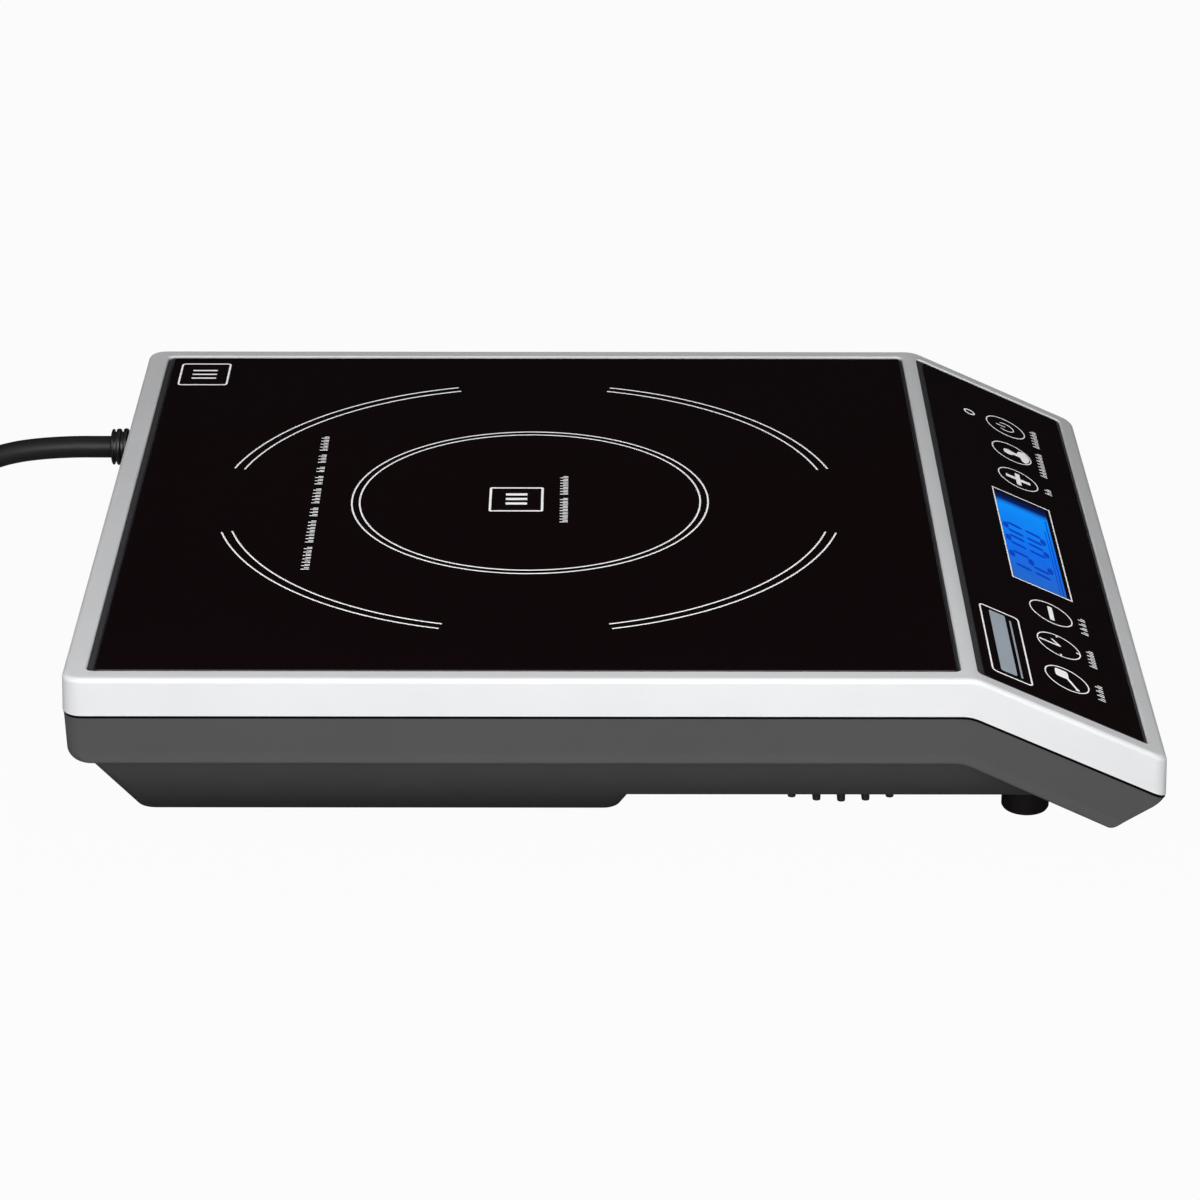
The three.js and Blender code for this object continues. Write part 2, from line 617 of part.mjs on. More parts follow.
function strainRelief() {
  const wallOut = REAR - 0.4;
  const profile = [
    [0, wallOut - 10], [6.4, wallOut - 10], [6.4, wallOut - 5.5], [5.5, wallOut - 5.5], [5.5, wallOut + GAP],
    [7.4, wallOut + GAP], [7.4, wallOut + 3], [6, wallOut + 3.6], [6, wallOut + 4.4],
    [7.3, wallOut + 5], [7.3, wallOut + 7.4], [5.9, wallOut + 8], [5.9, wallOut + 8.6],
    [7.2, wallOut + 9.2], [7.2, wallOut + 11.4], [6.2, wallOut + 12.2], [0, wallOut + 12.2]];
  return turned(profile, CORD_X, -CORD_Z, 16).rotateX(-Math.PI / 2);
}

const PLUG_Z = COIL_LIFT + 1.5 * CORD_DIAMETER;
const PLUG_Y = CORD_COIL.y + CORD_COIL_TURN;

// The plug lies on its side with its blades towards -X; its body and boot are one moulding.
function plugBody() {
  const boot = turned([[0, 14], [6.2, 14], [8.6, 44], [0, 44]], 0, 0, 16);
  const grip = turned([
    [0, 42], [10.5, 42], [12.6, 46], [12.6, 54], [11.6, 57], [12.8, 62], [12.8, 71], [12, 72],
    [0, 72]], 0, 0, 20);
  return solidOf(boot).add(solidOf(grip));
}

function alongCordEnd(shape) {
  const geometry = shape instanceof THREE.BufferGeometry ? shape : geometryOf(shape);
  return geometry.rotateY(-Math.PI / 2).translate(CORD_COIL.x - 22, PLUG_Y, PLUG_Z);
}

// ---------------------------------------------------------------- assembly

const silver = finish(0xc9ccd0, 0.35, 0.4);
const darkPlastic = finish(0x4b4b4b, 0.55);
const blackGlass = finish(0x110608, 0.08);
const silicone = finish(0x3a3c3d, 0.8);
const blackRubber = finish(0x141414, 0.8);
const greenBoard = finish(0x1f5a34, 0.5);
const steel = finish(0x9a9ca0, 0.3, 1);
const copper = finish(0xb5673a, 0.4, 0.9);

addPart('top_frame', topFrame(), silver);
addPart('base_shell', baseShell(), darkPlastic);
addPart('intake_grille', intakeGrille(), finish(0x1b1b1c, 0.6));
FEET.forEach(([x, y], i) => {
  addPart(`foot_${i + 1}`, foot(x, y, i < 2 ? FRONT_FLOOR : REAR_FLOOR), blackRubber);
});
SCREWS.forEach(([x, y], i) => {
  addPart(`housing_screw_${i + 1}`, housingScrew(x, y, i < 2 ? FRONT_FLOOR : REAR_FLOOR), steel);
});

addPart('glass_plate', glassPlate(), blackGlass);
addPart('glass_gasket', glassGasket(), silicone);
addPart('coil_carrier', coilCarrier(), finish(0x2b2b2b, 0.6));
addPart('coil_winding', coilWinding(), copper);
for (let i = 0; i < 6; i += 1) {
  addPart(`ferrite_bar_${i + 1}`, ferriteBar(i), finish(0x2e2f31, 0.7));
}
addPart('mica_sheet', micaSheet(), finish(0xcfc8b8, 0.7));
addPart('thermal_sensor', thermalSensor(), finish(0xe8e6df, 0.6));

addPart('control_glass', controlGlass(), blackGlass, panel);
addPart('control_gasket', controlGasket(), silicone, panel);
addPart('lcd_module', displayLayer(-6.5, -3.7), finish(0x0a7de8, 0.2), panel);
addPart('lcd_backlight', displayLayer(-12.3, -6.8), finish(0xf2f4f6, 0.5), panel);
addPart('control_board', panelSlab(-131, 131, 14, 58, 2, -14.2, -12.6), greenBoard, panel);
addPart('panel_carrier', panelCarrier(), finish(0x2a2a2b, 0.6), panel);
addPart('indicator_led', cylinder(108.8, -21.9, 1.5, -12.3, -4.5, 12), finish(0xd8dade, 0.3), panel);
addPart('buzzer', cylinder(20, -36, 6, -20.5, -14.5, 20), finish(0x161616, 0.5), panel);
KEYS_X.forEach((x, i) => {
  addPart(`touch_spring_${i + 1}`, touchSpring(x), steel, panel);
});

addPart('fan_frame', fanFrame(), finish(0x1d1d1e, 0.5));
addPart('fan_stator', fanStator(), copper);
addPart('fan_rotor', fanRotor(), finish(0x222224, 0.45));

addPart('power_board', powerBoard(), greenBoard);
addPart('heatsink', heatsink(), finish(0xb9bcc0, 0.4, 1));
addPart('igbt', onBoard(-28, -12, 50, 71, 5), finish(0x1a1a1a, 0.5));
addPart('bridge_rectifier', onBoard(2, 24, 48, 78, 5), finish(0x1c1c1e, 0.5));
addPart('resonant_capacitor', onBoard(-66, -42, 30, 70, 21), finish(0xc8b23c, 0.5));
addPart('bus_capacitor', onBoard(36, 60, 40, 80, 21), finish(0xc8b23c, 0.5));
addPart('filter_choke', ring(7, 14, BOARD.z + 2, BOARD.z + 14, 82, 60, 24), copper);
addPart('filter_capacitor', onBoard(68, 95, 80, 91, 14), finish(0x2b56a0, 0.5));
addPart('fuse', fuse(), finish(0xdfe6ea, 0.1));
addPart('terminal_block', onBoard(96, 109, 94, 112, 11), finish(0x2f7f43, 0.5));

addPart('strain_relief', strainRelief(), blackRubber);
addPart('power_cord', powerCord(), blackRubber);
addPart('cord_coil', cordCoil(), blackRubber);
addPart('cord_tie', cordTie(), finish(0x222222, 0.9));
addPart('plug_body', alongCordEnd(plugBody()), blackRubber);
addPart('plug_blade_line', alongCordEnd(block(-3.2, 3.2, -7.1, -5.6, 72.3, 89)), steel);
addPart('plug_blade_neutral', alongCordEnd(block(-3.9, 3.9, 5.6, 7.1, 72.3, 89)), steel);
addPart('plug_ground_pin', alongCordEnd(cylinder(8, 0, 2.4, 72.3, 92, 12)), steel);

export default cooktop;
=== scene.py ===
"""Countertop induction cooktop: the visual pieces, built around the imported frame.

Shape tables are in millimetres and MM turns them into the metres that Blender works in.
+Z is up, -Y is the front where the controls are, +X is the user's right.
"""
import json
import math

import bmesh
import bpy
from mathutils import Matrix, Vector

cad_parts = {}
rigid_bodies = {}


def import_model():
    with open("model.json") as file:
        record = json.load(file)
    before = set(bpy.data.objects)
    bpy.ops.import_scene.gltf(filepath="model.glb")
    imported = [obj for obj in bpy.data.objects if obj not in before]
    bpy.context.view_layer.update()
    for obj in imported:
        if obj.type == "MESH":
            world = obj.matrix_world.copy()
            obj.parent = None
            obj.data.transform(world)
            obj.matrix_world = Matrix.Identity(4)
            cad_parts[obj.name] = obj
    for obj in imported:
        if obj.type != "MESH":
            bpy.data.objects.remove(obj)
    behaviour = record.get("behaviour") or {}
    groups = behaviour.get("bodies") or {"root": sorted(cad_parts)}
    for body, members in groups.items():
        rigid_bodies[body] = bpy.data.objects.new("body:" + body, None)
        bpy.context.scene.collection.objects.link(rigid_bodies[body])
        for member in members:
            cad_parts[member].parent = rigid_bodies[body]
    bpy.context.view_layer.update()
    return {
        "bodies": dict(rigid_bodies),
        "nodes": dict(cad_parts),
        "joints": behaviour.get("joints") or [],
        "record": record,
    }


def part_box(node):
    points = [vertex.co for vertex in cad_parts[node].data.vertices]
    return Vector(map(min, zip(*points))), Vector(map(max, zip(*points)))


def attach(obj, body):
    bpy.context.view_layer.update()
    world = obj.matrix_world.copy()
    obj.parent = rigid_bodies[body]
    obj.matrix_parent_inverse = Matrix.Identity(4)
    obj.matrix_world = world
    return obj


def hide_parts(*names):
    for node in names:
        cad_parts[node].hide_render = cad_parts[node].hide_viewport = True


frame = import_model()

bl_info = {
    "name": "Induction Cooktop",
    "version": (1, 0, 0),
    "blender": (4, 5, 0),
    "location": "View3D > Sidebar > Cooktop",
    "description": "Builds a countertop induction cooktop, its panel and its mains cord",
    "category": "Add Mesh",
}

MM = 0.001
HOUSING = "housing"
CORNER_STEPS = 10
PAST_SIDES = 160  # half the width of a cutter that passes both sides of the housing

# The tray's two hoppers under its band.
REAR_FLOOR, FRONT_FLOOR = 8, 15.5
HOPPER_SIDE, HOPPER_REAR, HOPPER_FRONT = 144.5, 178.9, -154
HOPPER_STEP = -4.6  # where the deep rear hopper meets the shallow one
HOPPER_LEAN = 14.5  # how far the side walls lean in from the band to the rear floor
BAND_INSET = 1.7
SEAM_GAP = 0.55
INTAKE_RADIUS = 44

# Painted shade: the hoppers' walls are darkened towards the table, from the top height below down to the
# darkest factor, but not on the band or the nose.
HOPPER_PAINTED_SHADE = 0.2
PAINTED_SHADE_TOP = 34.3
BAND_SIDE = 146.2
NOSE_START = -155
UNDER_GLOW = 0.6  # the room's light on an underside

FRAME_LOW, FRAME_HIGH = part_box("top_frame")
GLASS_LOW, GLASS_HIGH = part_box("glass_plate")
FAN_LOW, FAN_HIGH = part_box("fan_frame")


# ---------------------------------------------------------------- sizes and colours

def length_property(name, description, default):
    return bpy.props.FloatProperty(name=name, description=description, unit="LENGTH", default=default)


def angle_property(name, description, degrees):
    return bpy.props.FloatProperty(
        name=name, description=description, subtype="ANGLE", default=math.radians(degrees))


def power_property(name, description, default):
    return bpy.props.FloatProperty(name=name, description=description, default=default, unit="POWER")


def colour_property(name, description, default):
    return bpy.props.FloatVectorProperty(
        name=name, description=description, subtype="COLOR", size=3, default=default)


class CooktopHousing(bpy.types.PropertyGroup):
    """Outline of the frame and the base tray"""
    width: length_property("Width", "Across the user's front", FRAME_HIGH[0] - FRAME_LOW[0])
    length: length_property("Length", "Front edge to rear edge", FRAME_HIGH[1] - FRAME_LOW[1])
    height: length_property("Height", "Table to the top of the frame", FRAME_HIGH[2])
    corner: length_property("Rear corner", "Outline radius of the rear corners", 0.007)
    front_corner: length_property("Front corner", "Outline radius of the front corners", 0.005)
    flat_length: length_property("Flat length", "Rear edge to the bend", 0.3028)
    bend_round: length_property("Bend round", "Half length of the rounded bend", 0.003)
    panel_angle: angle_property("Panel angle", "Slope of the control panel", 24.6)
    skirt_depth: length_property("Skirt depth", "Height of the silver side wall", 0.0134)
    edge_radius: length_property("Edge radius", "Round between the top and the skirt", 0.0018)
    louvre_pitch: length_property("Louvre pitch", "Between the rear air slots", 0.010)


class CooktopPrint(bpy.types.PropertyGroup):
    """Printed marks on the two glass plates"""
    line: length_property("Line width", "Width of a printed line", 0.00062)
    inner_ring: length_property("Inner ring", "Radius of the full double ring", 0.0634)
    outer_ring: length_property("Outer ring", "Radius of the four double arcs", 0.1118)
    key_ring: length_property("Key ring", "Radius of the circle round a key", 0.0083)
    thickness: length_property("Ink thickness", "Height of the print over the glass", 0.00006)


class CooktopCord(bpy.types.PropertyGroup):
    """Mains cord and the coil that it is stored in"""
    diameter: length_property("Diameter", "Outside of the cord's jacket", 0.0085)
    coil_x: length_property("Coil X", "Middle of the coil", 0.049)
    coil_y: length_property("Coil Y", "Middle of the coil", 0.340)
    turn_outer: length_property("Outer turn", "Radius of the widest turn", 0.056)
    turn_inner: length_property("Inner turn", "Radius of the tightest turn", 0.038)
    lift: length_property("Lift", "Height of the coil's underside over the table", 0.001)


class CooktopColours(bpy.types.PropertyGroup):
    """Base colours of the finishes"""
    silver: colour_property("Silver paint", "Painted frame", (0.735, 0.741, 0.752))
    glass: colour_property("Glass", "Black ceramic glass", (0.0050, 0.0016, 0.0022))
    silicone: colour_property("Silicone", "Bead round the glass", (0.030, 0.031, 0.034))
    base: colour_property("Base plastic", "Dark base tray", (0.078, 0.077, 0.077))
    ink: colour_property("Ink", "White print", (0.95, 0.95, 0.95))
    display: colour_property("Display", "Lit display", (0.004, 0.17, 0.86))


class CooktopStage(bpy.types.PropertyGroup):
    """Camera and studio"""
    lens: bpy.props.FloatProperty(
        name="Lens", description="Focal length of the camera", default=119.95)
    pitch: angle_property("Pitch", "Camera's tilt below level", 24.829)
    yaw: angle_property("Yaw", "Camera's turn from the side view", -0.107)
    roll: angle_property("Roll", "Camera's lean", 0.106)
    place: bpy.props.FloatVectorProperty(
        name="Place", description="Camera position", subtype="XYZ", unit="LENGTH", size=3,
        default=(-1.3368, 0.0083, 0.6448))
    key_power: power_property("Key light", "Power of the light over the user's left", 7.6)
    low_power: power_property("Low light", "Power of the light low on the user's left", 3.1)
    front_power: power_property("Front light", "Power of the light at the front left", 1.6)
    rear_power: power_property("Rear light", "Power of the light at the rear left", 1.6)
    far_power: power_property("Far light", "Power of the high light on the user's right", 0.5)
    front_end_power: power_property("Front end light", "Power of the low light at the front", 1.8)
    rear_end_power: power_property("Rear end light", "Power of the low light at the rear", 3.0)
    sky: bpy.props.FloatProperty(
        name="Room", description="Strength of the dim room overhead", default=0.09)


# ---------------------------------------------------------------- meshes

def raw_piece(name, shell):
    """An object from (vertices in millimetres, faces), with its faces turned outwards."""
    vertices, faces = shell
    mesh = bpy.data.meshes.new(name)
    mesh.from_pydata([(x * MM, y * MM, z * MM) for x, y, z in vertices], [], faces)
    shape = bmesh.new()
    shape.from_mesh(mesh)
    bmesh.ops.remove_doubles(shape, verts=shape.verts, dist=1e-7)
    bmesh.ops.recalc_face_normals(shape, faces=shape.faces)
    shape.to_mesh(mesh)
    shape.free()
    piece = bpy.data.objects.new(name, mesh)
    bpy.context.scene.collection.objects.link(piece)
    return piece


def evaluated_mesh(piece):
    graph = bpy.context.evaluated_depsgraph_get()
    graph.update()
    return bpy.data.meshes.new_from_object(piece.evaluated_get(graph), depsgraph=graph)


def carved(name, body, steps):
    """The closed body after each (operation, shell) step."""
    piece = raw_piece(name, body)
    helpers = []
    for operation, shell in steps:
        helper = raw_piece(name + "_tool", shell)
        modifier = piece.modifiers.new(operation, "BOOLEAN")
        modifier.operation = operation
        modifier.solver = "EXACT"
        modifier.object = helper
        helpers.append(helper)
    mesh = evaluated_mesh(piece)
    piece.modifiers.clear()
    piece.data = mesh
    for helper in helpers:
        bpy.data.objects.remove(helper)
    return piece


def smoothed(piece, finish, angle=38):
    """Soft normals over small bends, crisp ones past the angle, flat faces kept flat."""
    mesh = piece.data
    mesh.materials.clear()
    mesh.materials.append(finish)
    mesh.shade_smooth()
    mesh.set_sharp_from_angle(angle=math.radians(angle))
    weights = piece.modifiers.new("Even normals", "WEIGHTED_NORMAL")
    weights.keep_sharp = True
    weights.weight = 80
    piece.data = evaluated_mesh(piece)
    piece.modifiers.clear()
    return piece


def settled(piece, slot, *nodes, body=HOUSING):
    """Rides on its body and stands for its nodes, which it hides; the slot is not used."""
    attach(piece, body)
    if nodes:
        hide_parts(*nodes)
    return piece


def shell_of(piece):
    """Takes a piece back apart into millimetre vertices and faces, and removes it."""
    mesh = piece.data
    shell = ([tuple(v.co / MM) for v in mesh.vertices], [tuple(p.vertices) for p in mesh.polygons])
    bpy.data.objects.remove(piece)
    return shell


def joined(*shells):
    """Several closed shells in one list of vertices and faces."""
    vertices, faces = [], []
    for more, patches in shells:
        start = len(vertices)
        vertices += more
        faces += [tuple(start + i for i in patch) for patch in patches]
    return vertices, faces


def moved(shell, matrix):
    return [tuple(matrix @ Vector(v)) for v in shell[0]], shell[1]


def lofted(rings, ladder=False):
    """Rings of equal count, bottom to top, closed with a face or with rungs at each end."""
    count = len(rings[0])
    vertices = [point for ring in rings for point in ring]
    faces = []
    for k in range(len(rings) - 1):
        low, high = k * count, (k + 1) * count
        for i in range(count):
            j = (i + 1) % count
            faces.append((low + i, low + j, high + j, high + i))
    top = (len(rings) - 1) * count
    if not ladder:
        return vertices, faces + [tuple(range(count))[::-1], tuple(range(top, top + count))]
    for i in range(count // 2 - 1):
        far, next_far = count - 1 - i, count - 2 - i
        faces.append((i, i + 1, next_far, far))
        faces.append((top + far, top + next_far, top + i + 1, top + i))
    return vertices, faces


def closed_loops(loops):
    """Loops joined to the next and the last to the first: a closed hoop of any section."""
    count, rows = len(loops[0]), len(loops)
    faces = []
    for k in range(rows):
        low, high = k * count, ((k + 1) % rows) * count
        for i in range(count):
            j = (i + 1) % count
            faces.append((low + i, low + j, high + j, high + i))
    return [point for loop in loops for point in loop], faces


def turned(profile, x=0.0, y=0.0, sides=48):
    """A profile of (radius, height) turned round the upright axis through (x, y)."""
    vertices, rows = [], []
    for radius, height in profile:
        if radius == 0:
            rows.append([len(vertices)] * sides)
            vertices.append((x, y, height))
            continue
        rows.append(list(range(len(vertices), len(vertices) + sides)))
        for i in range(sides):
            angle = 2 * math.pi * i / sides
            vertices.append((x + radius * math.cos(angle), y + radius * math.sin(angle), height))
    faces = []
    pairs = list(zip(rows, rows[1:]))
    if profile[0][0] != 0:
        pairs.append((rows[-1], rows[0]))
    for low, high in pairs:
        for i in range(sides):
            j = (i + 1) % sides
            patch = list(dict.fromkeys((low[i], low[j], high[j], high[i])))
            if len(patch) > 2:
                faces.append(tuple(patch))
    return vertices, faces


def rounded_outline(x0, x1, y0, y1, radius, steps=8):
    """Points anticlockwise round a rectangle with round corners."""
    points = []
    centres = ((x1 - radius, y0 + radius, -90), (x1 - radius, y1 - radius, 0),
               (x0 + radius, y1 - radius, 90), (x0 + radius, y0 + radius, 180))
    for cx, cy, start in centres:
        for i in range(steps + 1):
            angle = math.radians(start + 90 * i / steps)
            points.append((cx + radius * math.cos(angle), cy + radius * math.sin(angle)))
    return points


def slab(x0, x1, y0, y1, radius, levels, steps=8):
    """A rounded rectangle lofted through (height, growth) levels."""
    rings = []
    for height, grow in levels:
        outline = rounded_outline(x0 - grow, x1 + grow, y0 - grow, y1 + grow, max(radius + grow, 0.05), steps)
        rings.append([(x, y, height) for x, y in outline])
    return lofted(rings)


def rounded_levels(low, high, radius, steps=4):
    """Levels of a slab whose top and bottom edges are quarter rounds."""
    turns = [math.pi / 2 * i / steps for i in range(steps + 1)]
    quarter = [(math.sin(turn), math.cos(turn)) for turn in turns]
    start = [(low + radius * (1 - c), -radius * (1 - s)) for s, c in quarter]
    end = [(high - radius * (1 - s), -radius * (1 - c)) for s, c in quarter]
    return start + end


def bead(outer, inner, radii, low, high, crown):
    """A hoop between two rounded rectangles with a softly crowned top."""
    def loop(t, height):
        sides = [o + (i - o) * t for o, i in zip(outer, inner)]
        radius = radii[0] + (radii[1] - radii[0]) * t
        return [(x, y, height) for x, y in rounded_outline(*sides, radius)]
    rounds = [(t, high - crown * (2 * t - 1) ** 2) for t in (0, 0.12, 0.3, 0.5, 0.7, 0.88, 1)]
    return closed_loops([loop(0, low)] + [loop(t, z) for t, z in rounds] + [loop(1, low)])


def box(x0, x1, y0, y1, z0, z1):
    return lofted([[(x0, y0, z), (x1, y0, z), (x1, y1, z), (x0, y1, z)] for z in (z0, z1)])


def across_width(outline):
    """A side outline of (y, z) points extruded past both sides of the housing."""
    return lofted([[(x, y, z) for y, z in outline] for x in (-PAST_SIDES, PAST_SIDES)])


# ---------------------------------------------------------------- flat print

def prism(points, low, high):
    return lofted([[(x, y, z) for x, y in points] for z in (low, high)])


def stroke(points, width, low, high, closed=False):
    """A printed line of even width along flat points, with mitred bends."""
    count = len(points)
    left, right = [], []
    for i, (x, y) in enumerate(points):
        before = points[i - 1] if closed or i else None
        after = points[(i + 1) % count] if closed or i < count - 1 else None
        into = Vector((x - before[0], y - before[1])).normalized() if before else None
        out = Vector((after[0] - x, after[1] - y)).normalized() if after else None
        into, out = into or out, out or into
        middle = (into + out).normalized()
        side = Vector((-middle.y, middle.x)) * (width / 2 / max(middle.dot(out), 0.4))
        left.append((x + side.x, y + side.y))
        right.append((x - side.x, y - side.y))
    if closed:
        loops = [[(x, y, z) for x, y in line] for line, z in
                 ((left, low), (right, low), (right, high), (left, high))]
        return closed_loops(loops)
    return prism(left + right[::-1], low, high)


def arc_points(cx, cy, radius, start, end, steps=40):
    angles = [math.radians(start + (end - start) * i / steps) for i in range(steps + 1)]
    return [(cx + radius * math.cos(a), cy + radius * math.sin(a)) for a in angles]


def circle_points(cx, cy, radius, steps=48):
    return arc_points(cx, cy, radius, 0, 360, steps)[:-1]


# ---------------------------------------------------------------- the bent housing outline

BAND_TOP = 13.9
BAND_BOTTOM = 32.15
NOSE_FLARE = 0.023
REAR_EASE = 0.8


class Bend:
    """The housing outline in millimetres: flat at the rear, sloping past the bend."""

    def __init__(self, housing):
        self.half_width = housing.width / MM / 2
        self.rear = housing.length / MM / 2
        self.height = housing.height / MM
        self.corner = housing.corner / MM
        self.front_corner = housing.front_corner / MM
        self.skirt_depth = housing.skirt_depth / MM
        self.bend_y = self.rear - housing.flat_length / MM
        self.round = housing.bend_round / MM
        self.angle = housing.panel_angle
        self.slope = math.tan(self.angle)
        self.shift = 0.1

    def drop(self, y, depth):
        """How far the bent layer lies below its flat part at y; the band deepens at the nose."""
        past = self.bend_y + self.shift * depth - y
        slope = self.slope + max(0.0, depth - BAND_TOP) / (BAND_BOTTOM - BAND_TOP) * NOSE_FLARE
        if past <= -self.round:
            return 0.0
        if past >= self.round:
            return past * slope
        return slope * (past + self.round) ** 2 / (4 * self.round)

    def half_outline(self, inset, depth):
        quarter = [math.radians(90 * i / CORNER_STEPS) for i in range(CORNER_STEPS + 1)]
        side = self.half_width - inset
        near = max(self.front_corner - inset, 1.5)
        far = max(self.corner - inset, 1.5)
        points = [(side - near + near * math.sin(a), -self.rear + inset + near - near * math.cos(a))
                  for a in quarter]
        for i in range(9):
            points.append((side, self.bend_y + self.shift * depth + self.round * (i / 4 - 1)))
        return points + [(side - far + far * math.cos(a), self.rear - inset - far + far * math.sin(a))
                         for a in quarter]

    def ring(self, inset, depth, pull=0.0):
        """The whole outline of one layer, as a closed loop of points; pull shortens its rear end."""
        half = self.half_outline(inset, depth)
        rear = CORNER_STEPS + 1
        half = half[:-rear] + [(x, y + REAR_EASE - pull) for x, y in half[-rear:]]
        right = [(x, y, self.height - depth - self.drop(y, depth)) for x, y in half]
        return right + [(-x, y, z) for x, y, z in reversed(right)]

    def body(self, sections):
        """A body of (inset, depth) sections from the bottom up; a third number pulls the rear end in."""
        return lofted([self.ring(*section) for section in sections], ladder=True)

    def panel(self):
        """Places a shape drawn flat on the panel: origin at the bend, -Y down the slope."""
        return Matrix.Translation((0, self.bend_y, self.height)) @ Matrix.Rotation(self.angle, 4, "X")


def edge_sections(inset, depth, radius, steps=8):
    """A quarter round from a side wall up to a face, as (inset, depth) pairs from the bottom up."""
    turns = [math.pi / 2 * i / steps for i in range(steps + 1)]
    return [(inset + radius * (1 - math.cos(a)), depth + radius * (1 - math.sin(a))) for a in turns]


def band_sections(inset, depth, side_round, rear_round, steps=10):
    """The band's lower edge: a tight round along the sides and a wide one at the rear."""
    sections = []
    for i in range(steps + 1):
        angle = math.pi / 2 * i / steps
        rise = rear_round * (1 - math.cos(angle))
        tuck = side_round - math.sqrt(max(side_round ** 2 - max(side_round - rise, 0.0) ** 2, 0.0))
        sections.append((inset + tuck, depth - rise, rear_round * (1 - math.sin(angle)) - tuck - 0.9))
    return sections


# ---------------------------------------------------------------- geometry node trees

class Tree:
    """A small geometry node tree while it is being wired up."""

    def __init__(self, name, inputs):
        self.group = bpy.data.node_groups.new(name, "GeometryNodeTree")
        self.group.interface.new_socket("Geometry", in_out="OUTPUT", socket_type="NodeSocketGeometry")
        for label, kind in inputs:
            self.group.interface.new_socket(label, in_out="INPUT", socket_type="NodeSocket" + kind)
        self.given = self.group.nodes.new("NodeGroupInput").outputs

    def add(self, kind, settings=None, inputs=None, output=0):
        """Adds a node, sets or links its inputs and returns one of its outputs."""
        node = self.group.nodes.new(kind)
        for key, value in (settings or {}).items():
            setattr(node, key, value)
        for key, value in (inputs or {}).items():
            if isinstance(value, bpy.types.NodeSocket):
                self.group.links.new(value, node.inputs[key])
            else:
                node.inputs[key].default_value = value
        return node.outputs[output]

    def math(self, operation, *values):
        return self.add("ShaderNodeMath", {"operation": operation}, dict(enumerate(values)))

    def finish(self, geometry):
        """Ends the tree in real geometry with the given material."""
        real = self.add("GeometryNodeRealizeInstances", None, {"Geometry": geometry})
        painted = self.add(
            "GeometryNodeSetMaterial", None, {"Geometry": real, "Material": self.given["Material"]})
        end = self.group.nodes.new("NodeGroupOutput")
        self.group.links.new(painted, end.inputs[0])
        return self.group


def grown(name, tree, values):
    """Runs a tree once and keeps its result as a plain mesh object."""
    seed = bpy.data.objects.new(name + "_seed", bpy.data.meshes.new(name + "_seed"))
    bpy.context.scene.collection.objects.link(seed)
    modifier = seed.modifiers.new("Nodes", "NODES")
    modifier.node_group = tree
    for item in tree.interface.items_tree:
        if item.in_out == "INPUT":
            modifier[item.identifier] = values[item.name]
    mesh = evaluated_mesh(seed)
    seed.modifiers.clear()
    bpy.data.objects.remove(seed)
    mesh.name = name
    piece = bpy.data.objects.new(name, mesh)
    bpy.context.scene.collection.objects.link(piece)
    return piece


def double_arc_tree():
    """Two printed arcs side by side, repeated at even turns round a centre."""
    tree = Tree("Double arcs", (
        ("Radius", "Float"), ("Spacing", "Float"), ("Sweep", "Float"), ("Start", "Float"), ("Count", "Int"),
        ("Line width", "Float"), ("Thickness", "Float"), ("Centre", "Vector"), ("Material", "Material")))
    given = tree.given
    half = tree.math("MULTIPLY", given["Spacing"], 0.5)
    lines = []
    for operation in ("ADD", "SUBTRACT"):
        radius = tree.math(operation, given["Radius"], half)
        lines.append(tree.add("GeometryNodeCurveArc", {"mode": "RADIUS"}, {
            "Resolution": 160, "Radius": radius, "Start Angle": given["Start"],
            "Sweep Angle": given["Sweep"], "Connect Center": False}))
    join = tree.group.nodes.new("GeometryNodeJoinGeometry")
    for line in lines:
        tree.group.links.new(line, join.inputs[0])
    profile = tree.add("GeometryNodeCurvePrimitiveQuadrilateral", {"mode": "RECTANGLE"}, {
        "Width": given["Line width"], "Height": given["Thickness"]})
    ribbon = tree.add("GeometryNodeCurveToMesh", None, {
        "Curve": join.outputs[0], "Profile Curve": profile, "Fill Caps": True})
    spots = tree.add("GeometryNodePoints", None, {"Count": given["Count"], "Position": given["Centre"]})
    number = tree.add("GeometryNodeInputIndex")
    turn = tree.math("MULTIPLY", number, tree.math("DIVIDE", 2 * math.pi, given["Count"]))
    heading = tree.add("ShaderNodeCombineXYZ", None, {"Z": turn})
    copies = tree.add("GeometryNodeInstanceOnPoints", None, {
        "Points": spots, "Instance": ribbon, "Rotation": heading})
    return tree.finish(copies)


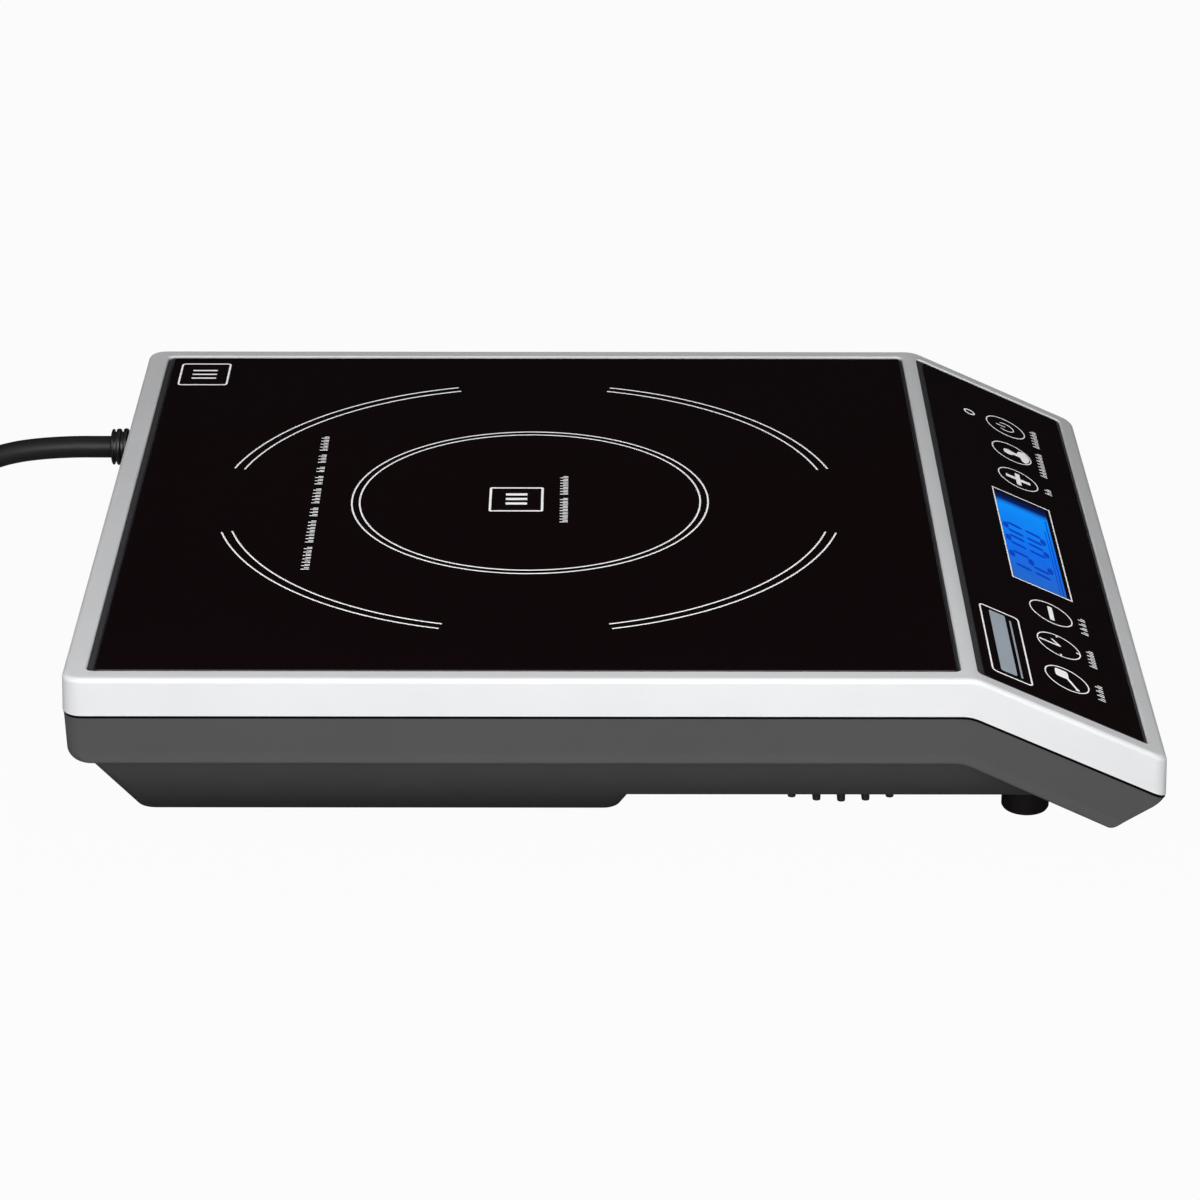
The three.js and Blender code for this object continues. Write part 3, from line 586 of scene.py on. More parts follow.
def grille_rib_tree():
    """Upright ribs with round ends, each as long as the round grille is wide at its line."""
    tree = Tree("Grille ribs", (
        ("Count", "Int"), ("Pitch", "Float"), ("Rib width", "Float"), ("Rib height", "Float"),
        ("Grille radius", "Float"), ("Middle", "Vector"), ("Material", "Material")))
    given = tree.given
    span = tree.math("MULTIPLY", given["Pitch"], tree.math("SUBTRACT", given["Count"], 1))
    first = tree.add("ShaderNodeCombineXYZ", None, {"Y": tree.math("MULTIPLY", span, -0.5)})
    step = tree.add("ShaderNodeCombineXYZ", None, {"Y": given["Pitch"]})
    row = tree.add("GeometryNodeMeshLine", {"mode": "OFFSET"}, {
        "Count": given["Count"], "Start Location": first, "Offset": step})
    place = tree.add("ShaderNodeSeparateXYZ", None, {0: tree.add("GeometryNodeInputPosition")}, output="Y")
    squares = tree.math("SUBTRACT", tree.math("POWER", given["Grille radius"], 2.0),
                        tree.math("POWER", place, 2.0))
    radius = tree.math("MULTIPLY", given["Rib width"], 0.5)
    reach = tree.math("SUBTRACT", tree.math("SQRT", squares), radius)
    marked = tree.add("GeometryNodeStoreNamedAttribute", {"data_type": "FLOAT", "domain": "POINT"}, {
        "Geometry": row, "Name": "reach", "Value": reach})
    peg = tree.add("GeometryNodeMeshCylinder", {"fill_type": "NGON"}, {
        "Vertices": 24, "Radius": radius, "Depth": given["Rib height"]})
    pegs = tree.add("GeometryNodeInstanceOnPoints", None, {"Points": marked, "Instance": peg})
    real = tree.add("GeometryNodeRealizeInstances", None, {"Geometry": pegs})
    across = tree.add("ShaderNodeSeparateXYZ", None, {0: tree.add("GeometryNodeInputPosition")}, output="X")
    kept = tree.add("GeometryNodeInputNamedAttribute", {"data_type": "FLOAT"}, {"Name": "reach"})
    side = tree.math("SIGN", tree.math("ADD", across, 1e-6))
    stretch = tree.add("ShaderNodeCombineXYZ", None, {"X": tree.math("MULTIPLY", side, kept)})
    pulled = tree.add("GeometryNodeSetPosition", None, {"Geometry": real, "Offset": stretch})
    settled_ribs = tree.add("GeometryNodeTransform", None, {
        "Geometry": pulled, "Translation": given["Middle"]})
    return tree.finish(settled_ribs)


def winding_tree():
    """Round wire wound in a flat spiral."""
    tree = Tree("Flat winding", (
        ("Turns", "Float"), ("Inner radius", "Float"), ("Outer radius", "Float"), ("Wire radius", "Float"),
        ("Middle", "Vector"), ("Material", "Material")))
    given = tree.given
    spiral = tree.add("GeometryNodeCurveSpiral", None, {
        "Resolution": 56, "Rotations": given["Turns"], "Start Radius": given["Inner radius"],
        "End Radius": given["Outer radius"], "Height": 0.0, "Reverse": False})
    profile = tree.add("GeometryNodeCurvePrimitiveCircle", {"mode": "RADIUS"}, {
        "Resolution": 10, "Radius": given["Wire radius"]})
    wire = tree.add("GeometryNodeCurveToMesh", None, {
        "Curve": spiral, "Profile Curve": profile, "Fill Caps": True})
    placed = tree.add("GeometryNodeTransform", None, {"Geometry": wire, "Translation": given["Middle"]})
    smooth = tree.add("GeometryNodeSetShadeSmooth", None, {"Geometry": placed})
    return tree.finish(smooth)


def copies_tree():
    """One template repeated on every point of a marker mesh."""
    tree = Tree("Copies on points", (
        ("Template", "Object"), ("Markers", "Object"), ("Turn", "Vector"), ("Material", "Material")))
    given = tree.given
    shape = tree.add("GeometryNodeObjectInfo", None, {"Object": given["Template"]}, output="Geometry")
    spots = tree.add("GeometryNodeObjectInfo", None, {"Object": given["Markers"]}, output="Geometry")
    copies = tree.add("GeometryNodeInstanceOnPoints", None, {
        "Points": spots, "Instance": shape, "Rotation": given["Turn"]})
    return tree.finish(copies)


def repeated(name, template, places, finish, turn=(0, 0, 0)):
    """The template shell on each place, by the copies tree, as one piece."""
    shape = raw_piece(name + "_template", template)
    smoothed(shape, finish)
    markers = raw_piece(name + "_markers", (places, []))
    piece = grown(name, shared_tree(copies_tree), {
        "Template": shape, "Markers": markers, "Turn": turn, "Material": finish})
    for helper in (shape, markers):
        bpy.data.objects.remove(helper)
    return piece


def shared_tree(maker):
    """Builds a tree on first use and hands back the same one after that."""
    if maker not in TREES:
        TREES[maker] = maker()
    return TREES[maker]


TREES = {}


FINISHES = {}


# ---------------------------------------------------------------- shader node groups

class Shading:
    """A shader node tree while it is being wired up."""

    def __init__(self, tree):
        self.tree = tree

    def add(self, kind, settings=None, inputs=None, output=0):
        node = self.tree.nodes.new(kind)
        for key, value in (settings or {}).items():
            setattr(node, key, value)
        for key, value in (inputs or {}).items():
            if isinstance(value, bpy.types.NodeSocket):
                self.tree.links.new(value, node.inputs[key])
            else:
                node.inputs[key].default_value = value
        return node.outputs[output]

    def math(self, operation, *values):
        return self.add("ShaderNodeMath", {"operation": operation}, dict(enumerate(values)))


def shader_group(name, inputs, outputs):
    group = bpy.data.node_groups.new(name, "ShaderNodeTree")
    for label, kind, default in inputs:
        socket = group.interface.new_socket(label, in_out="INPUT", socket_type="NodeSocket" + kind)
        if default is not None:
            socket.default_value = default
    for label, kind in outputs:
        group.interface.new_socket(label, in_out="OUTPUT", socket_type="NodeSocket" + kind)
    given = group.nodes.new("NodeGroupInput").outputs
    end = group.nodes.new("NodeGroupOutput").inputs
    return group, Shading(group), given, end


def moulded_grain_group():
    """Fine texture of a moulded or painted skin, as a height and a roughness mask."""
    group, shade, given, end = shader_group(
        "Moulded grain", (("Vector", "Vector", None), ("Scale", "Float", 1500.0), ("Softness", "Float", 0.5)),
        (("Height", "Float"), ("Mask", "Float")))
    fine = shade.add("ShaderNodeTexNoise", None, {
        "Vector": given["Vector"], "Scale": given["Scale"], "Detail": 3.0, "Roughness": given["Softness"]})
    broad = shade.add("ShaderNodeTexNoise", None, {
        "Vector": given["Vector"], "Scale": shade.math("MULTIPLY", given["Scale"], 0.03), "Detail": 2.0})
    group.links.new(fine, end["Height"])
    group.links.new(broad, end["Mask"])
    return group


def tone_drift_group():
    """Slow, slight lightening and darkening of a colour."""
    group, shade, given, end = shader_group(
        "Tone drift", (("Vector", "Vector", None), ("Color", "Color", (0.5, 0.5, 0.5, 1)),
                       ("Scale", "Float", 30.0), ("Amount", "Float", 0.05)),
        (("Color", "Color"),))
    cloud = shade.add("ShaderNodeTexNoise", None, {
        "Vector": given["Vector"], "Scale": given["Scale"], "Detail": 4.0})
    swing = shade.math("MULTIPLY", shade.math("SUBTRACT", cloud, 0.5), given["Amount"])
    level = shade.math("ADD", shade.math("MULTIPLY", swing, 2.0), 1.0)
    scaled = shade.add("ShaderNodeVectorMath", {"operation": "SCALE"}, {
        0: given["Color"], "Scale": level})
    group.links.new(scaled, end["Color"])
    return group


def group_node(shade, maker, inputs):
    """Places a shared shader group and returns its outputs."""
    if maker not in TREES:
        TREES[maker] = maker()
    node = shade.tree.nodes.new("ShaderNodeGroup")
    node.node_tree = TREES[maker]
    for key, value in inputs.items():
        if isinstance(value, bpy.types.NodeSocket):
            shade.tree.links.new(value, node.inputs[key])
        else:
            node.inputs[key].default_value = value
    return node.outputs


def bare_material(name):
    """A new material, kept in FINISHES: the frame's own materials share some of these names."""
    material = FINISHES[name] = bpy.data.materials.new(name + "_finish")
    material.use_nodes = True
    tree = material.node_tree
    shader = next(node for node in tree.nodes if node.type == "BSDF_PRINCIPLED")
    shade = Shading(tree)
    place = shade.add("ShaderNodeTexCoord", output="Object")
    return material, shade, shader, place


def finish_of(name, colour, roughness, metallic=0.0, grain=1500.0, relief=0.03, drift=0.06, sway=0.06,
              drift_scale=30.0, **constants):
    """A procedural finish: drifting tone, varied roughness and a fine relief."""
    if name in FINISHES:
        return FINISHES[name]
    material, shade, shader, place = bare_material(name)
    tone = group_node(shade, tone_drift_group, {
        "Vector": place, "Color": (*colour, 1), "Scale": drift_scale, "Amount": drift})
    skin = group_node(shade, moulded_grain_group, {"Vector": place, "Scale": grain})
    rough = shade.add("ShaderNodeMapRange", None, {
        "Value": skin["Mask"], "From Min": 0.3, "From Max": 0.7,
        "To Min": roughness - sway, "To Max": roughness + sway})
    normal = shade.add("ShaderNodeBump", None, {
        "Height": skin["Height"], "Strength": 1.0, "Distance": relief * MM})
    link = shade.tree.links.new
    link(tone["Color"], shader.inputs["Base Color"])
    link(rough, shader.inputs["Roughness"])
    link(normal, shader.inputs["Normal"])
    shader.inputs["Metallic"].default_value = metallic
    for socket, value in constants.items():
        shader.inputs[socket.replace("_", " ")].default_value = value
    return material


SIMPLE_FINISHES = {
    "pale_ink": ((0.42, 0.48, 0.54), 0.45, dict(grain=3000.0, relief=0.004, drift=0.10)),
    "bush_rubber": ((0.010, 0.010, 0.011), 0.30, dict(grain=900.0, relief=0.02, drift=0.1)),
    "cord_jacket": ((0.014, 0.0135, 0.014), 0.35, dict(
        grain=1800.0, relief=0.02, drift=0.1, Specular_IOR_Level=0.25)),
    "plug_rubber": ((0.014, 0.014, 0.015), 0.45, dict(grain=1400.0, relief=0.03, drift=0.1)),
    "foot_rubber": ((0.005, 0.003, 0.003), 0.6, dict(
        grain=1500.0, relief=0.03, drift=0.1, Specular_IOR_Level=0.2)),
    # Near-black and nearly matt: painted shadow for the seam between the frame and the band.
    "seam_shadow_black": ((0.003, 0.003, 0.003), 0.8, dict(
        grain=1500.0, relief=0.02, drift=0.1, Specular_IOR_Level=0.05)),
    "strap_weave": ((0.020, 0.020, 0.022), 0.85, dict(
        grain=2400.0, relief=0.25, drift=0.3, drift_scale=1200.0)),
    "plug_metal": ((0.72, 0.66, 0.52), 0.25, dict(metallic=1.0, grain=900.0, relief=0.004)),
    "screw_steel": ((0.55, 0.55, 0.57), 0.32, dict(metallic=1.0, grain=1600.0, relief=0.01)),
    "grille_plastic": ((0.012, 0.012, 0.012), 0.5, dict(grain=2000.0, relief=0.02)),
    "fan_plastic": ((0.014, 0.014, 0.015), 0.4, dict(grain=1200.0, relief=0.01)),
    "carrier_plastic": ((0.025, 0.025, 0.025), 0.6, dict(grain=1200.0, relief=0.03)),
    "component_black": ((0.012, 0.012, 0.013), 0.5, dict(grain=2200.0, relief=0.02)),
    "coil_copper": ((0.55, 0.20, 0.09), 0.38, dict(
        metallic=0.9, grain=2600.0, relief=0.12, drift=0.3, drift_scale=700.0)),
    "ferrite": ((0.028, 0.029, 0.031), 0.7, dict(grain=900.0, relief=0.06, drift=0.2)),
    "mica": ((0.60, 0.56, 0.47), 0.6, dict(grain=300.0, relief=0.05, drift=0.35, drift_scale=120.0)),
    "ceramic": ((0.78, 0.77, 0.72), 0.5, dict(grain=800.0, relief=0.02)),
    "milky_plastic": ((0.75, 0.77, 0.80), 0.35, dict(grain=600.0, relief=0.01)),
    "heatsink_aluminium": ((0.62, 0.63, 0.65), 0.38, dict(metallic=1.0, grain=1400.0, relief=0.02)),
    "yellow_film": ((0.55, 0.42, 0.05), 0.4, dict(grain=600.0, relief=0.02)),
    "blue_film": ((0.03, 0.10, 0.32), 0.4, dict(grain=600.0, relief=0.02)),
    "green_terminal": ((0.03, 0.22, 0.06), 0.45, dict(grain=900.0, relief=0.02)),
    "fuse_glass": ((0.70, 0.76, 0.80), 0.08, dict(grain=300.0, relief=0.001, sway=0.02)),
}


def simple_finish(name):
    """One of the plain finishes above: its colour, its roughness and what else sets it apart."""
    colour, roughness, options = SIMPLE_FINISHES[name]
    return finish_of(name, colour, roughness, **options)


def silver_paint():
    colour = bpy.context.scene.cooktop_colours.silver
    return finish_of("silver_paint", colour, 0.5, metallic=0.1, grain=2600.0, relief=0.02, drift=0.05,
                     sway=0.03)


def black_ceramic_glass():
    colour = bpy.context.scene.cooktop_colours.glass
    return finish_of("black_ceramic_glass", colour, 0.055, grain=260.0, relief=0.0006, drift=0.2, sway=0.012,
                     drift_scale=9.0, IOR=1.5)


def silicone_bead():
    colour = bpy.context.scene.cooktop_colours.silicone
    return finish_of("silicone_bead", colour, 0.7, grain=1300.0, relief=0.30, drift=0.9, drift_scale=1300.0)


def base_plastic():
    """Dark grey plastic, with painted shade that darkens the hoppers' walls towards the table."""
    made = "base_plastic" in FINISHES
    colour = bpy.context.scene.cooktop_colours.base
    material = finish_of("base_plastic", colour, 0.6, grain=2200.0, relief=0.02, drift=0.06,
                         Specular_IOR_Level=0.15)
    if made:
        return material
    tree = material.node_tree
    shade = Shading(tree)
    base = next(node for node in tree.nodes if node.type == "BSDF_PRINCIPLED").inputs["Base Color"]
    x, y, z = shade.add("ShaderNodeSeparateXYZ", None, {
        0: shade.add("ShaderNodeTexCoord", output="Object")}, output="X").node.outputs
    # Painted shade: darker down the hoppers' walls, kept off the band, the nose and the level faces.
    depth = shade.add("ShaderNodeMapRange", None, {
        "Value": z, "From Min": REAR_FLOOR * MM, "From Max": PAINTED_SHADE_TOP * MM,
        "To Min": HOPPER_PAINTED_SHADE, "To Max": 1.0})
    on_band = shade.math("GREATER_THAN", shade.math("ABSOLUTE", x), BAND_SIDE * MM)
    on_nose = shade.math("LESS_THAN", y, NOSE_START * MM)
    facing = shade.add("ShaderNodeSeparateXYZ", None, {
        0: shade.add("ShaderNodeNewGeometry", output="Normal")}, output="Z")
    on_floor = shade.math("GREATER_THAN", shade.math("ABSOLUTE", facing), 0.9)
    elsewhere = shade.math("MAXIMUM", on_floor, shade.math("MAXIMUM", on_band, on_nose))
    kept = shade.math("MAXIMUM", depth, elsewhere)
    shade_painted_colour = shade.add("ShaderNodeVectorMath", {"operation": "SCALE"}, {
        0: base.links[0].from_socket, "Scale": kept})
    tree.links.new(shade_painted_colour, base)
    return material


def white_ink_with_painted_glow():
    colour = bpy.context.scene.cooktop_colours.ink
    # Painted light: the print has a faint glow of its own, so it reads brighter than white paint would.
    return finish_of("white_ink_with_painted_glow", colour, 0.45, grain=3000.0, relief=0.004, drift=0.04,
                     Emission_Color=(1.0, 1.0, 1.0, 1.0), Emission_Strength=0.2)


def lit_display_with_painted_shadow():
    """Blue backlight, brighter towards the far end; its last strip at the far end is darkened as a painted
    shadow of the recess's edge.
    """
    name = "lit_display_with_painted_shadow"
    if name in FINISHES:
        return FINISHES[name]
    material, shade, shader, place = bare_material(name)
    along = shade.add("ShaderNodeSeparateXYZ", None, {0: place}, output="X")
    glow = shade.add("ShaderNodeValToRGB", None, {0: shade.add("ShaderNodeMapRange", None, {
        "Value": along, "From Min": -42.5 * MM, "From Max": 37 * MM})})
    ramp = glow.node.color_ramp
    red, green, blue = bpy.context.scene.cooktop_colours.display
    # The last stops paint the shadow of the recess's edge: the far end of the pane goes dark.
    stops = ((0.0, (red * 4, green * 0.75, blue * 0.66)), (0.35, (red, green * 0.88, blue * 0.95)),
             (0.84, (red * 0.5, green * 1.5, blue * 1.08)), (0.868, (red * 0.3, green, blue * 0.8)),
             (0.905, (red * 0.1, green * 0.06, blue * 0.15)), (0.97, (red * 0.2, green * 0.01, blue * 0.01)))
    while len(ramp.elements) < len(stops):
        ramp.elements.new(0.5)
    for element, (spot, colour) in zip(ramp.elements, stops):
        element.position = spot
        element.color = (*colour, 1)
    mottle = group_node(shade, tone_drift_group, {
        "Vector": place, "Color": glow, "Scale": 160.0, "Amount": 0.10})
    shade.tree.links.new(mottle["Color"], shader.inputs["Emission Color"])
    shader.inputs["Base Color"].default_value = (0.002, 0.004, 0.010, 1)
    shader.inputs["Emission Strength"].default_value = 1.0
    shader.inputs["Roughness"].default_value = 0.08
    return material


def display_figure():
    """Dark figures on the lit pane."""
    name = "display_figure"
    if name in FINISHES:
        return FINISHES[name]
    material, shade, shader, place = bare_material(name)
    tone = group_node(shade, tone_drift_group, {
        "Vector": place, "Color": (0.001, 0.055, 0.50, 1), "Scale": 260.0, "Amount": 0.25})
    shade.tree.links.new(tone["Color"], shader.inputs["Emission Color"])
    shader.inputs["Base Color"].default_value = (0.001, 0.003, 0.010, 1)
    shader.inputs["Emission Strength"].default_value = 1.0
    shader.inputs["Roughness"].default_value = 0.1
    return material


def circuit_board():
    """Green solder mask with straight tracks and bright pads."""
    name = "circuit_board"
    if name in FINISHES:
        return FINISHES[name]
    material, shade, shader, place = bare_material(name)
    tracks = shade.add("ShaderNodeTexBrick", {"offset": 0.37, "squash": 0.8}, {
        "Vector": place, "Color1": (0.010, 0.085, 0.030, 1), "Color2": (0.014, 0.105, 0.038, 1),
        "Mortar": (0.030, 0.190, 0.070, 1), "Scale": 160.0, "Mortar Size": 0.03})
    cells = shade.add("ShaderNodeTexVoronoi", {"distance": "EUCLIDEAN"}, {"Vector": place, "Scale": 210.0})
    pads = shade.math("LESS_THAN", cells, 0.16)
    colour = shade.add("ShaderNodeMix", {"data_type": "RGBA"}, {
        0: pads, 6: tracks, 7: (0.55, 0.52, 0.45, 1)}, output=2)
    shade.tree.links.new(colour, shader.inputs["Base Color"])
    shade.tree.links.new(pads, shader.inputs["Metallic"])
    shader.inputs["Roughness"].default_value = 0.35
    return material


# ---------------------------------------------------------------- housing pieces

SCREW_SPOTS = [(-125, -113, 15.5), (125, -113, 15.5), (-118, 150, 8), (118, 150, 8)]
FOOT_SPOTS = [(-112, -141, 15.5), (112, -141, 15.5), (-102, 146, 8), (102, 146, 8)]
WINDOW = (-143, 143, -114.0, 176.7)
PANEL_OPENING = (-143, 143, -65.1, -1.1)


def build_top_frame(housing):
    """Bent silver frame with its two glass openings."""
    bend = Bend(housing)
    top = bend.height
    depth, radius = housing.skirt_depth / MM, housing.edge_radius / MM
    body = bend.body([(0, depth), (0.06, depth - 0.35)] + edge_sections(0.5, 0, radius))
    hollow = bend.body([(2.4, depth + 5), (2.4, 7.6)])
    x0, x1, y0, y1 = WINDOW
    mouth = slab(*WINDOW, 2.5, [(top - 4.9, 0), (top - 0.4, 0), (top + 0.2, 0.6), (top + 2, 0.6)])
    hole = slab(x0 + 8, x1 - 8, y0 + 7, y1 - 8, 4, [(top - 12, 0), (top, 0)])
    panel = bend.panel()
    panel_mouth = slab(*PANEL_OPENING, 2, [(-3.9, 0), (-0.4, 0), (0.2, 0.6), (3, 0.6)])
    px0, px1 = PANEL_OPENING[:2]
    panel_hole = slab(px0 + 6, px1 - 6, -60, -6, 3, [(-16, 0), (0, 0)])
    posts = joined(*[turned([(0, floor + 7.3), (4.5, floor + 7.3), (4.5, top - 7), (0, top - 7)], x, y, 24)
                     for x, y, floor in SCREW_SPOTS])
    pilots = joined(*[turned([(0, 0), (1.95, 0), (1.95, floor + 20), (0, floor + 20)], x, y, 16)
                      for x, y, floor in SCREW_SPOTS])
    gussets = joined(*[box(x - 5, x + 5, y - 5, y1 - 1, top - 11.6, top - 7) for x, y, _ in SCREW_SPOTS[2:]])
    piece = carved("silver_frame", body, (
        ("DIFFERENCE", hollow), ("DIFFERENCE", mouth), ("DIFFERENCE", hole),
        ("DIFFERENCE", moved(panel_mouth, panel)), ("DIFFERENCE", moved(panel_hole, panel)),
        ("UNION", posts), ("UNION", gussets), ("DIFFERENCE", pilots)))
    return settled(smoothed(piece, silver_paint()), "silver_frame", "top_frame")


def tray_shell(wall, bend):
    """The two hoppers under the band; each wall leans in towards its floor."""
    top = bend.height - BAND_BOTTOM
    lean = HOPPER_LEAN / (top - REAR_FLOOR)
    above = top + (4 if wall else -0.5)

    def hopper(floor, front, low_round):
        levels = [(floor + wall, 0)]
        if not wall:
            turns = [math.pi / 2 * i / 6 for i in range(7)]
            levels = [(floor + low_round * (1 - math.cos(a)), low_round * (1 - math.sin(a))) for a in turns]
        levels += [(z, 0) for z in (FRONT_FLOOR + wall, above) if z > levels[-1][0]]
        rings = []
        for z, pull in levels:
            grow = -wall - pull
            side = HOPPER_SIDE - (top - z) * lean + grow
            back = HOPPER_REAR - (top - z) * 0.6 + grow - 2 * pull
            rings.append([(x, y, z) for x, y in rounded_outline(-side, side, front(z) - grow, back, 5)])
        return lofted(rings)

    rear = hopper(REAR_FLOOR, lambda z: HOPPER_STEP + max(FRONT_FLOOR + wall - z, 0) * 0.55, 1.2)
    front = hopper(FRONT_FLOOR, lambda z: HOPPER_FRONT, 0.8)
    return rear, front


def nose_cut(inwards, bend):
    """The slanting underside of the nose, from the front edge back round its lowest line."""
    front = -bend.rear
    outline = [(front + inwards, 22.3 + inwards)]
    for i in range(11):
        angle = math.radians(-34.6 + 6.03 * i)
        outline.append((-165.5 + 5.2 * math.sin(angle) + inwards, 15.74 - 5.2 * math.cos(angle) + inwards))
    outline += [(-158 + inwards, 9 + inwards), (-158, -20), (front - 30, -20), (front - 30, 22.3 + inwards)]
    return across_width(outline)


def build_base(housing):
    """Dark tray: a band that follows the frame, two hoppers, bosses, louvres and holes."""
    bend = Bend(housing)
    wall = 2.2
    seam = BAND_TOP + SEAM_GAP
    band = bend.body(band_sections(BAND_INSET, BAND_BOTTOM, 0.8, 4.6)
                     + [(0.4, seam), (2.7, seam), (2.7, 9.9)])
    rear, front = tray_shell(0, bend)
    inner = bend.body([(BAND_INSET + wall, BAND_BOTTOM - wall), (1.3 + wall, 20), (4.4, 18.5), (4.4, 5)])
    inner_rear, inner_front = tray_shell(wall, bend)
    hollow = carved("base_hollow", inner, (
        ("DIFFERENCE", nose_cut(wall, bend)), ("UNION", inner_rear), ("UNION", inner_front)))
    bosses = [turned([(0, floor + 1), (6.6, floor + 1), (6.6, floor + 7), (0, floor + 7)], x, y, 24)
              for x, y, floor in SCREW_SPOTS]
    holes = [turned([(0, floor - 3), (4.6, floor - 3), (4.6, floor + 4.5), (2.2, floor + 4.5),
                     (2.2, floor + 9), (0, floor + 9)], x, y, 24) for x, y, floor in SCREW_SPOTS]
    holes += [turned([(0, floor - 3), (3.1, floor - 3), (3.1, floor + 4), (0, floor + 4)], x, y, 20)
              for x, y, floor in FOOT_SPOTS]
    holes.append(turned([(0, 0), (INTAKE_RADIUS, 0), (INTAKE_RADIUS, 25), (0, 25)], -76, -76.7, 96))
    pitch = housing.louvre_pitch / MM
    for i in range(-8, 9):
        slot = slab(i * pitch - 1.8, i * pitch + 1.8, -29, -14, 1.75, [(150, 0), (190, 0)])
        holes.append(moved(slot, Matrix.Rotation(math.radians(-90), 4, "X")))
    cord_hole = turned([(0, bend.rear - 12), (5.8, bend.rear - 12), (5.8, bend.rear + 5), (0, bend.rear + 5)],
                       105, -43.4, 32)
    holes.append(moved(cord_hole, Matrix.Rotation(math.radians(-90), 4, "X")))
    piece = carved("base_tray", band, (
        ("UNION", rear), ("UNION", front), ("DIFFERENCE", nose_cut(0, bend)),
        ("DIFFERENCE", shell_of(hollow)),
        ("UNION", joined(*bosses)), ("DIFFERENCE", joined(*holes))))
    settled(smoothed(piece, base_plastic()), "base_plastic", "base_shell")
    # Painted shadow: a near-black hoop fills the seam between the frame and the band, so the gap reads dark.
    low, high = seam - 0.02, bend.skirt_depth + 0.02
    hoop = closed_loops([bend.ring(inset, depth) for inset, depth in (
        (0.25, low), (2.3, low), (2.3, high), (0.25, high))])
    settled(smoothed(raw_piece("skirt_seal", hoop), simple_finish("seam_shadow_black")), "foot_rubber")


# ---------------------------------------------------------------- mains cord

CORD_ROUTE = [
    (0.105, 0.1963, 0.0434), (0.105, 0.2022, 0.0434), (0.105, 0.2082, 0.0434), (0.105, 0.2144, 0.0432),
    (0.105, 0.2208, 0.0428), (0.105, 0.2275, 0.0421), (0.105, 0.2345, 0.0409), (0.105, 0.2415, 0.0389),
    (0.105, 0.2485, 0.0358), (0.105, 0.2552, 0.0317), (0.105, 0.2617, 0.0268), (0.105, 0.2682, 0.0217),
    (0.105, 0.2750, 0.0168), (0.105, 0.2822, 0.0124), (0.105, 0.2899, 0.0090), (0.105, 0.2980, 0.0068),
    (0.105, 0.3070, 0.0056), (0.105, 0.3165, 0.00525), (0.105, 0.3270, 0.00525),
]


def coil_route(cord):
    """Two flat layers of turns: inwards on the table, up one diameter, then outwards again."""
    low = cord.lift + cord.diameter / 2
    gap = cord.turn_outer - cord.turn_inner
    layer_turns, climb_turns = 2.0, 0.33
    out_turns = 2.25 - climb_turns
    total = layer_turns + climb_turns + out_turns
    per_turn = 32
    points = []
    for i in range(int(total * per_turn) + 1):
        turn = i / per_turn
        if turn <= layer_turns:
            radius, rise = cord.turn_outer - gap * turn / layer_turns, 0.0
        elif turn <= layer_turns + climb_turns:
            radius, rise = cord.turn_inner, (turn - layer_turns) / climb_turns
        else:
            radius = cord.turn_inner + gap * (turn - layer_turns - climb_turns) / out_turns
            rise = 1.0
        eased = rise * rise * (3 - 2 * rise)
        angle = 2 * math.pi * turn
        points.append((cord.coil_x + radius * math.cos(angle), cord.coil_y + radius * math.sin(angle),
                       low + cord.diameter * eased))
    return points


def build_cord(cord):
    """The cord and its coil as one smooth curve; returns it with its length."""
    points = CORD_ROUTE + coil_route(cord)
    last = Vector(points[-1])
    boot = (cord.coil_x - 22 * MM - 16 * MM, last.y, last.z)
    points += [(last.x - 14 * MM, last.y, last.z), boot]
    curve = bpy.data.curves.new("mains_cord", "CURVE")
    curve.dimensions = "3D"
    curve.bevel_depth = cord.diameter / 2
    curve.bevel_resolution = 6
    curve.resolution_u = 3
    curve.use_fill_caps = True
    spline = curve.splines.new("BEZIER")
    spline.bezier_points.add(len(points) - 1)
    for knot, place in zip(spline.bezier_points, points):
        knot.co = place
        knot.handle_left_type = knot.handle_right_type = "AUTO"
    piece = bpy.data.objects.new("mains_cord", curve)
    bpy.context.scene.collection.objects.link(piece)
    curve.materials.append(simple_finish("cord_jacket"))
    settled(piece, "cord_rubber", "power_cord", "cord_coil")
    length = sum(math.dist(a, b) for a, b in zip(points, points[1:]))
    return piece, length


LONGWAYS = Matrix.Rotation(math.radians(-90), 4, "X")
CORD_EXIT = (105, 43.4)


def build_strain_relief(bend):
    """Ribbed rubber bush that grips the cord where it leaves the tray."""
    out = bend.rear - 0.4
    ribs = [(0, -10), (6.4, -10), (6.4, -5.5), (5.5, -5.5), (5.5, 0.3), (7.2, 0.3)]
    for i in range(4):
        at, wide = 0.3 + 2.75 * i, 7.4 - 0.1 * i
        ribs += [(wide - 0.25, at + 0.05), (wide, at + 0.35), (wide, at + 1.35), (wide - 0.25, at + 1.65),
                 (wide - 1.3, at + 1.8), (wide - 1.3, at + 2.65)]
    ribs += [(6.9, 11.25), (7.0, 11.5), (6.9, 11.9), (6.3, 12.2), (0, 12.2)]
    shell = turned([(radius, out + along) for radius, along in ribs], CORD_EXIT[0], -CORD_EXIT[1], 48)
    piece = smoothed(raw_piece("cord_bush", moved(shell, LONGWAYS)), simple_finish("bush_rubber"), 60)
    return settled(piece, "cord_rubber", "strain_relief")


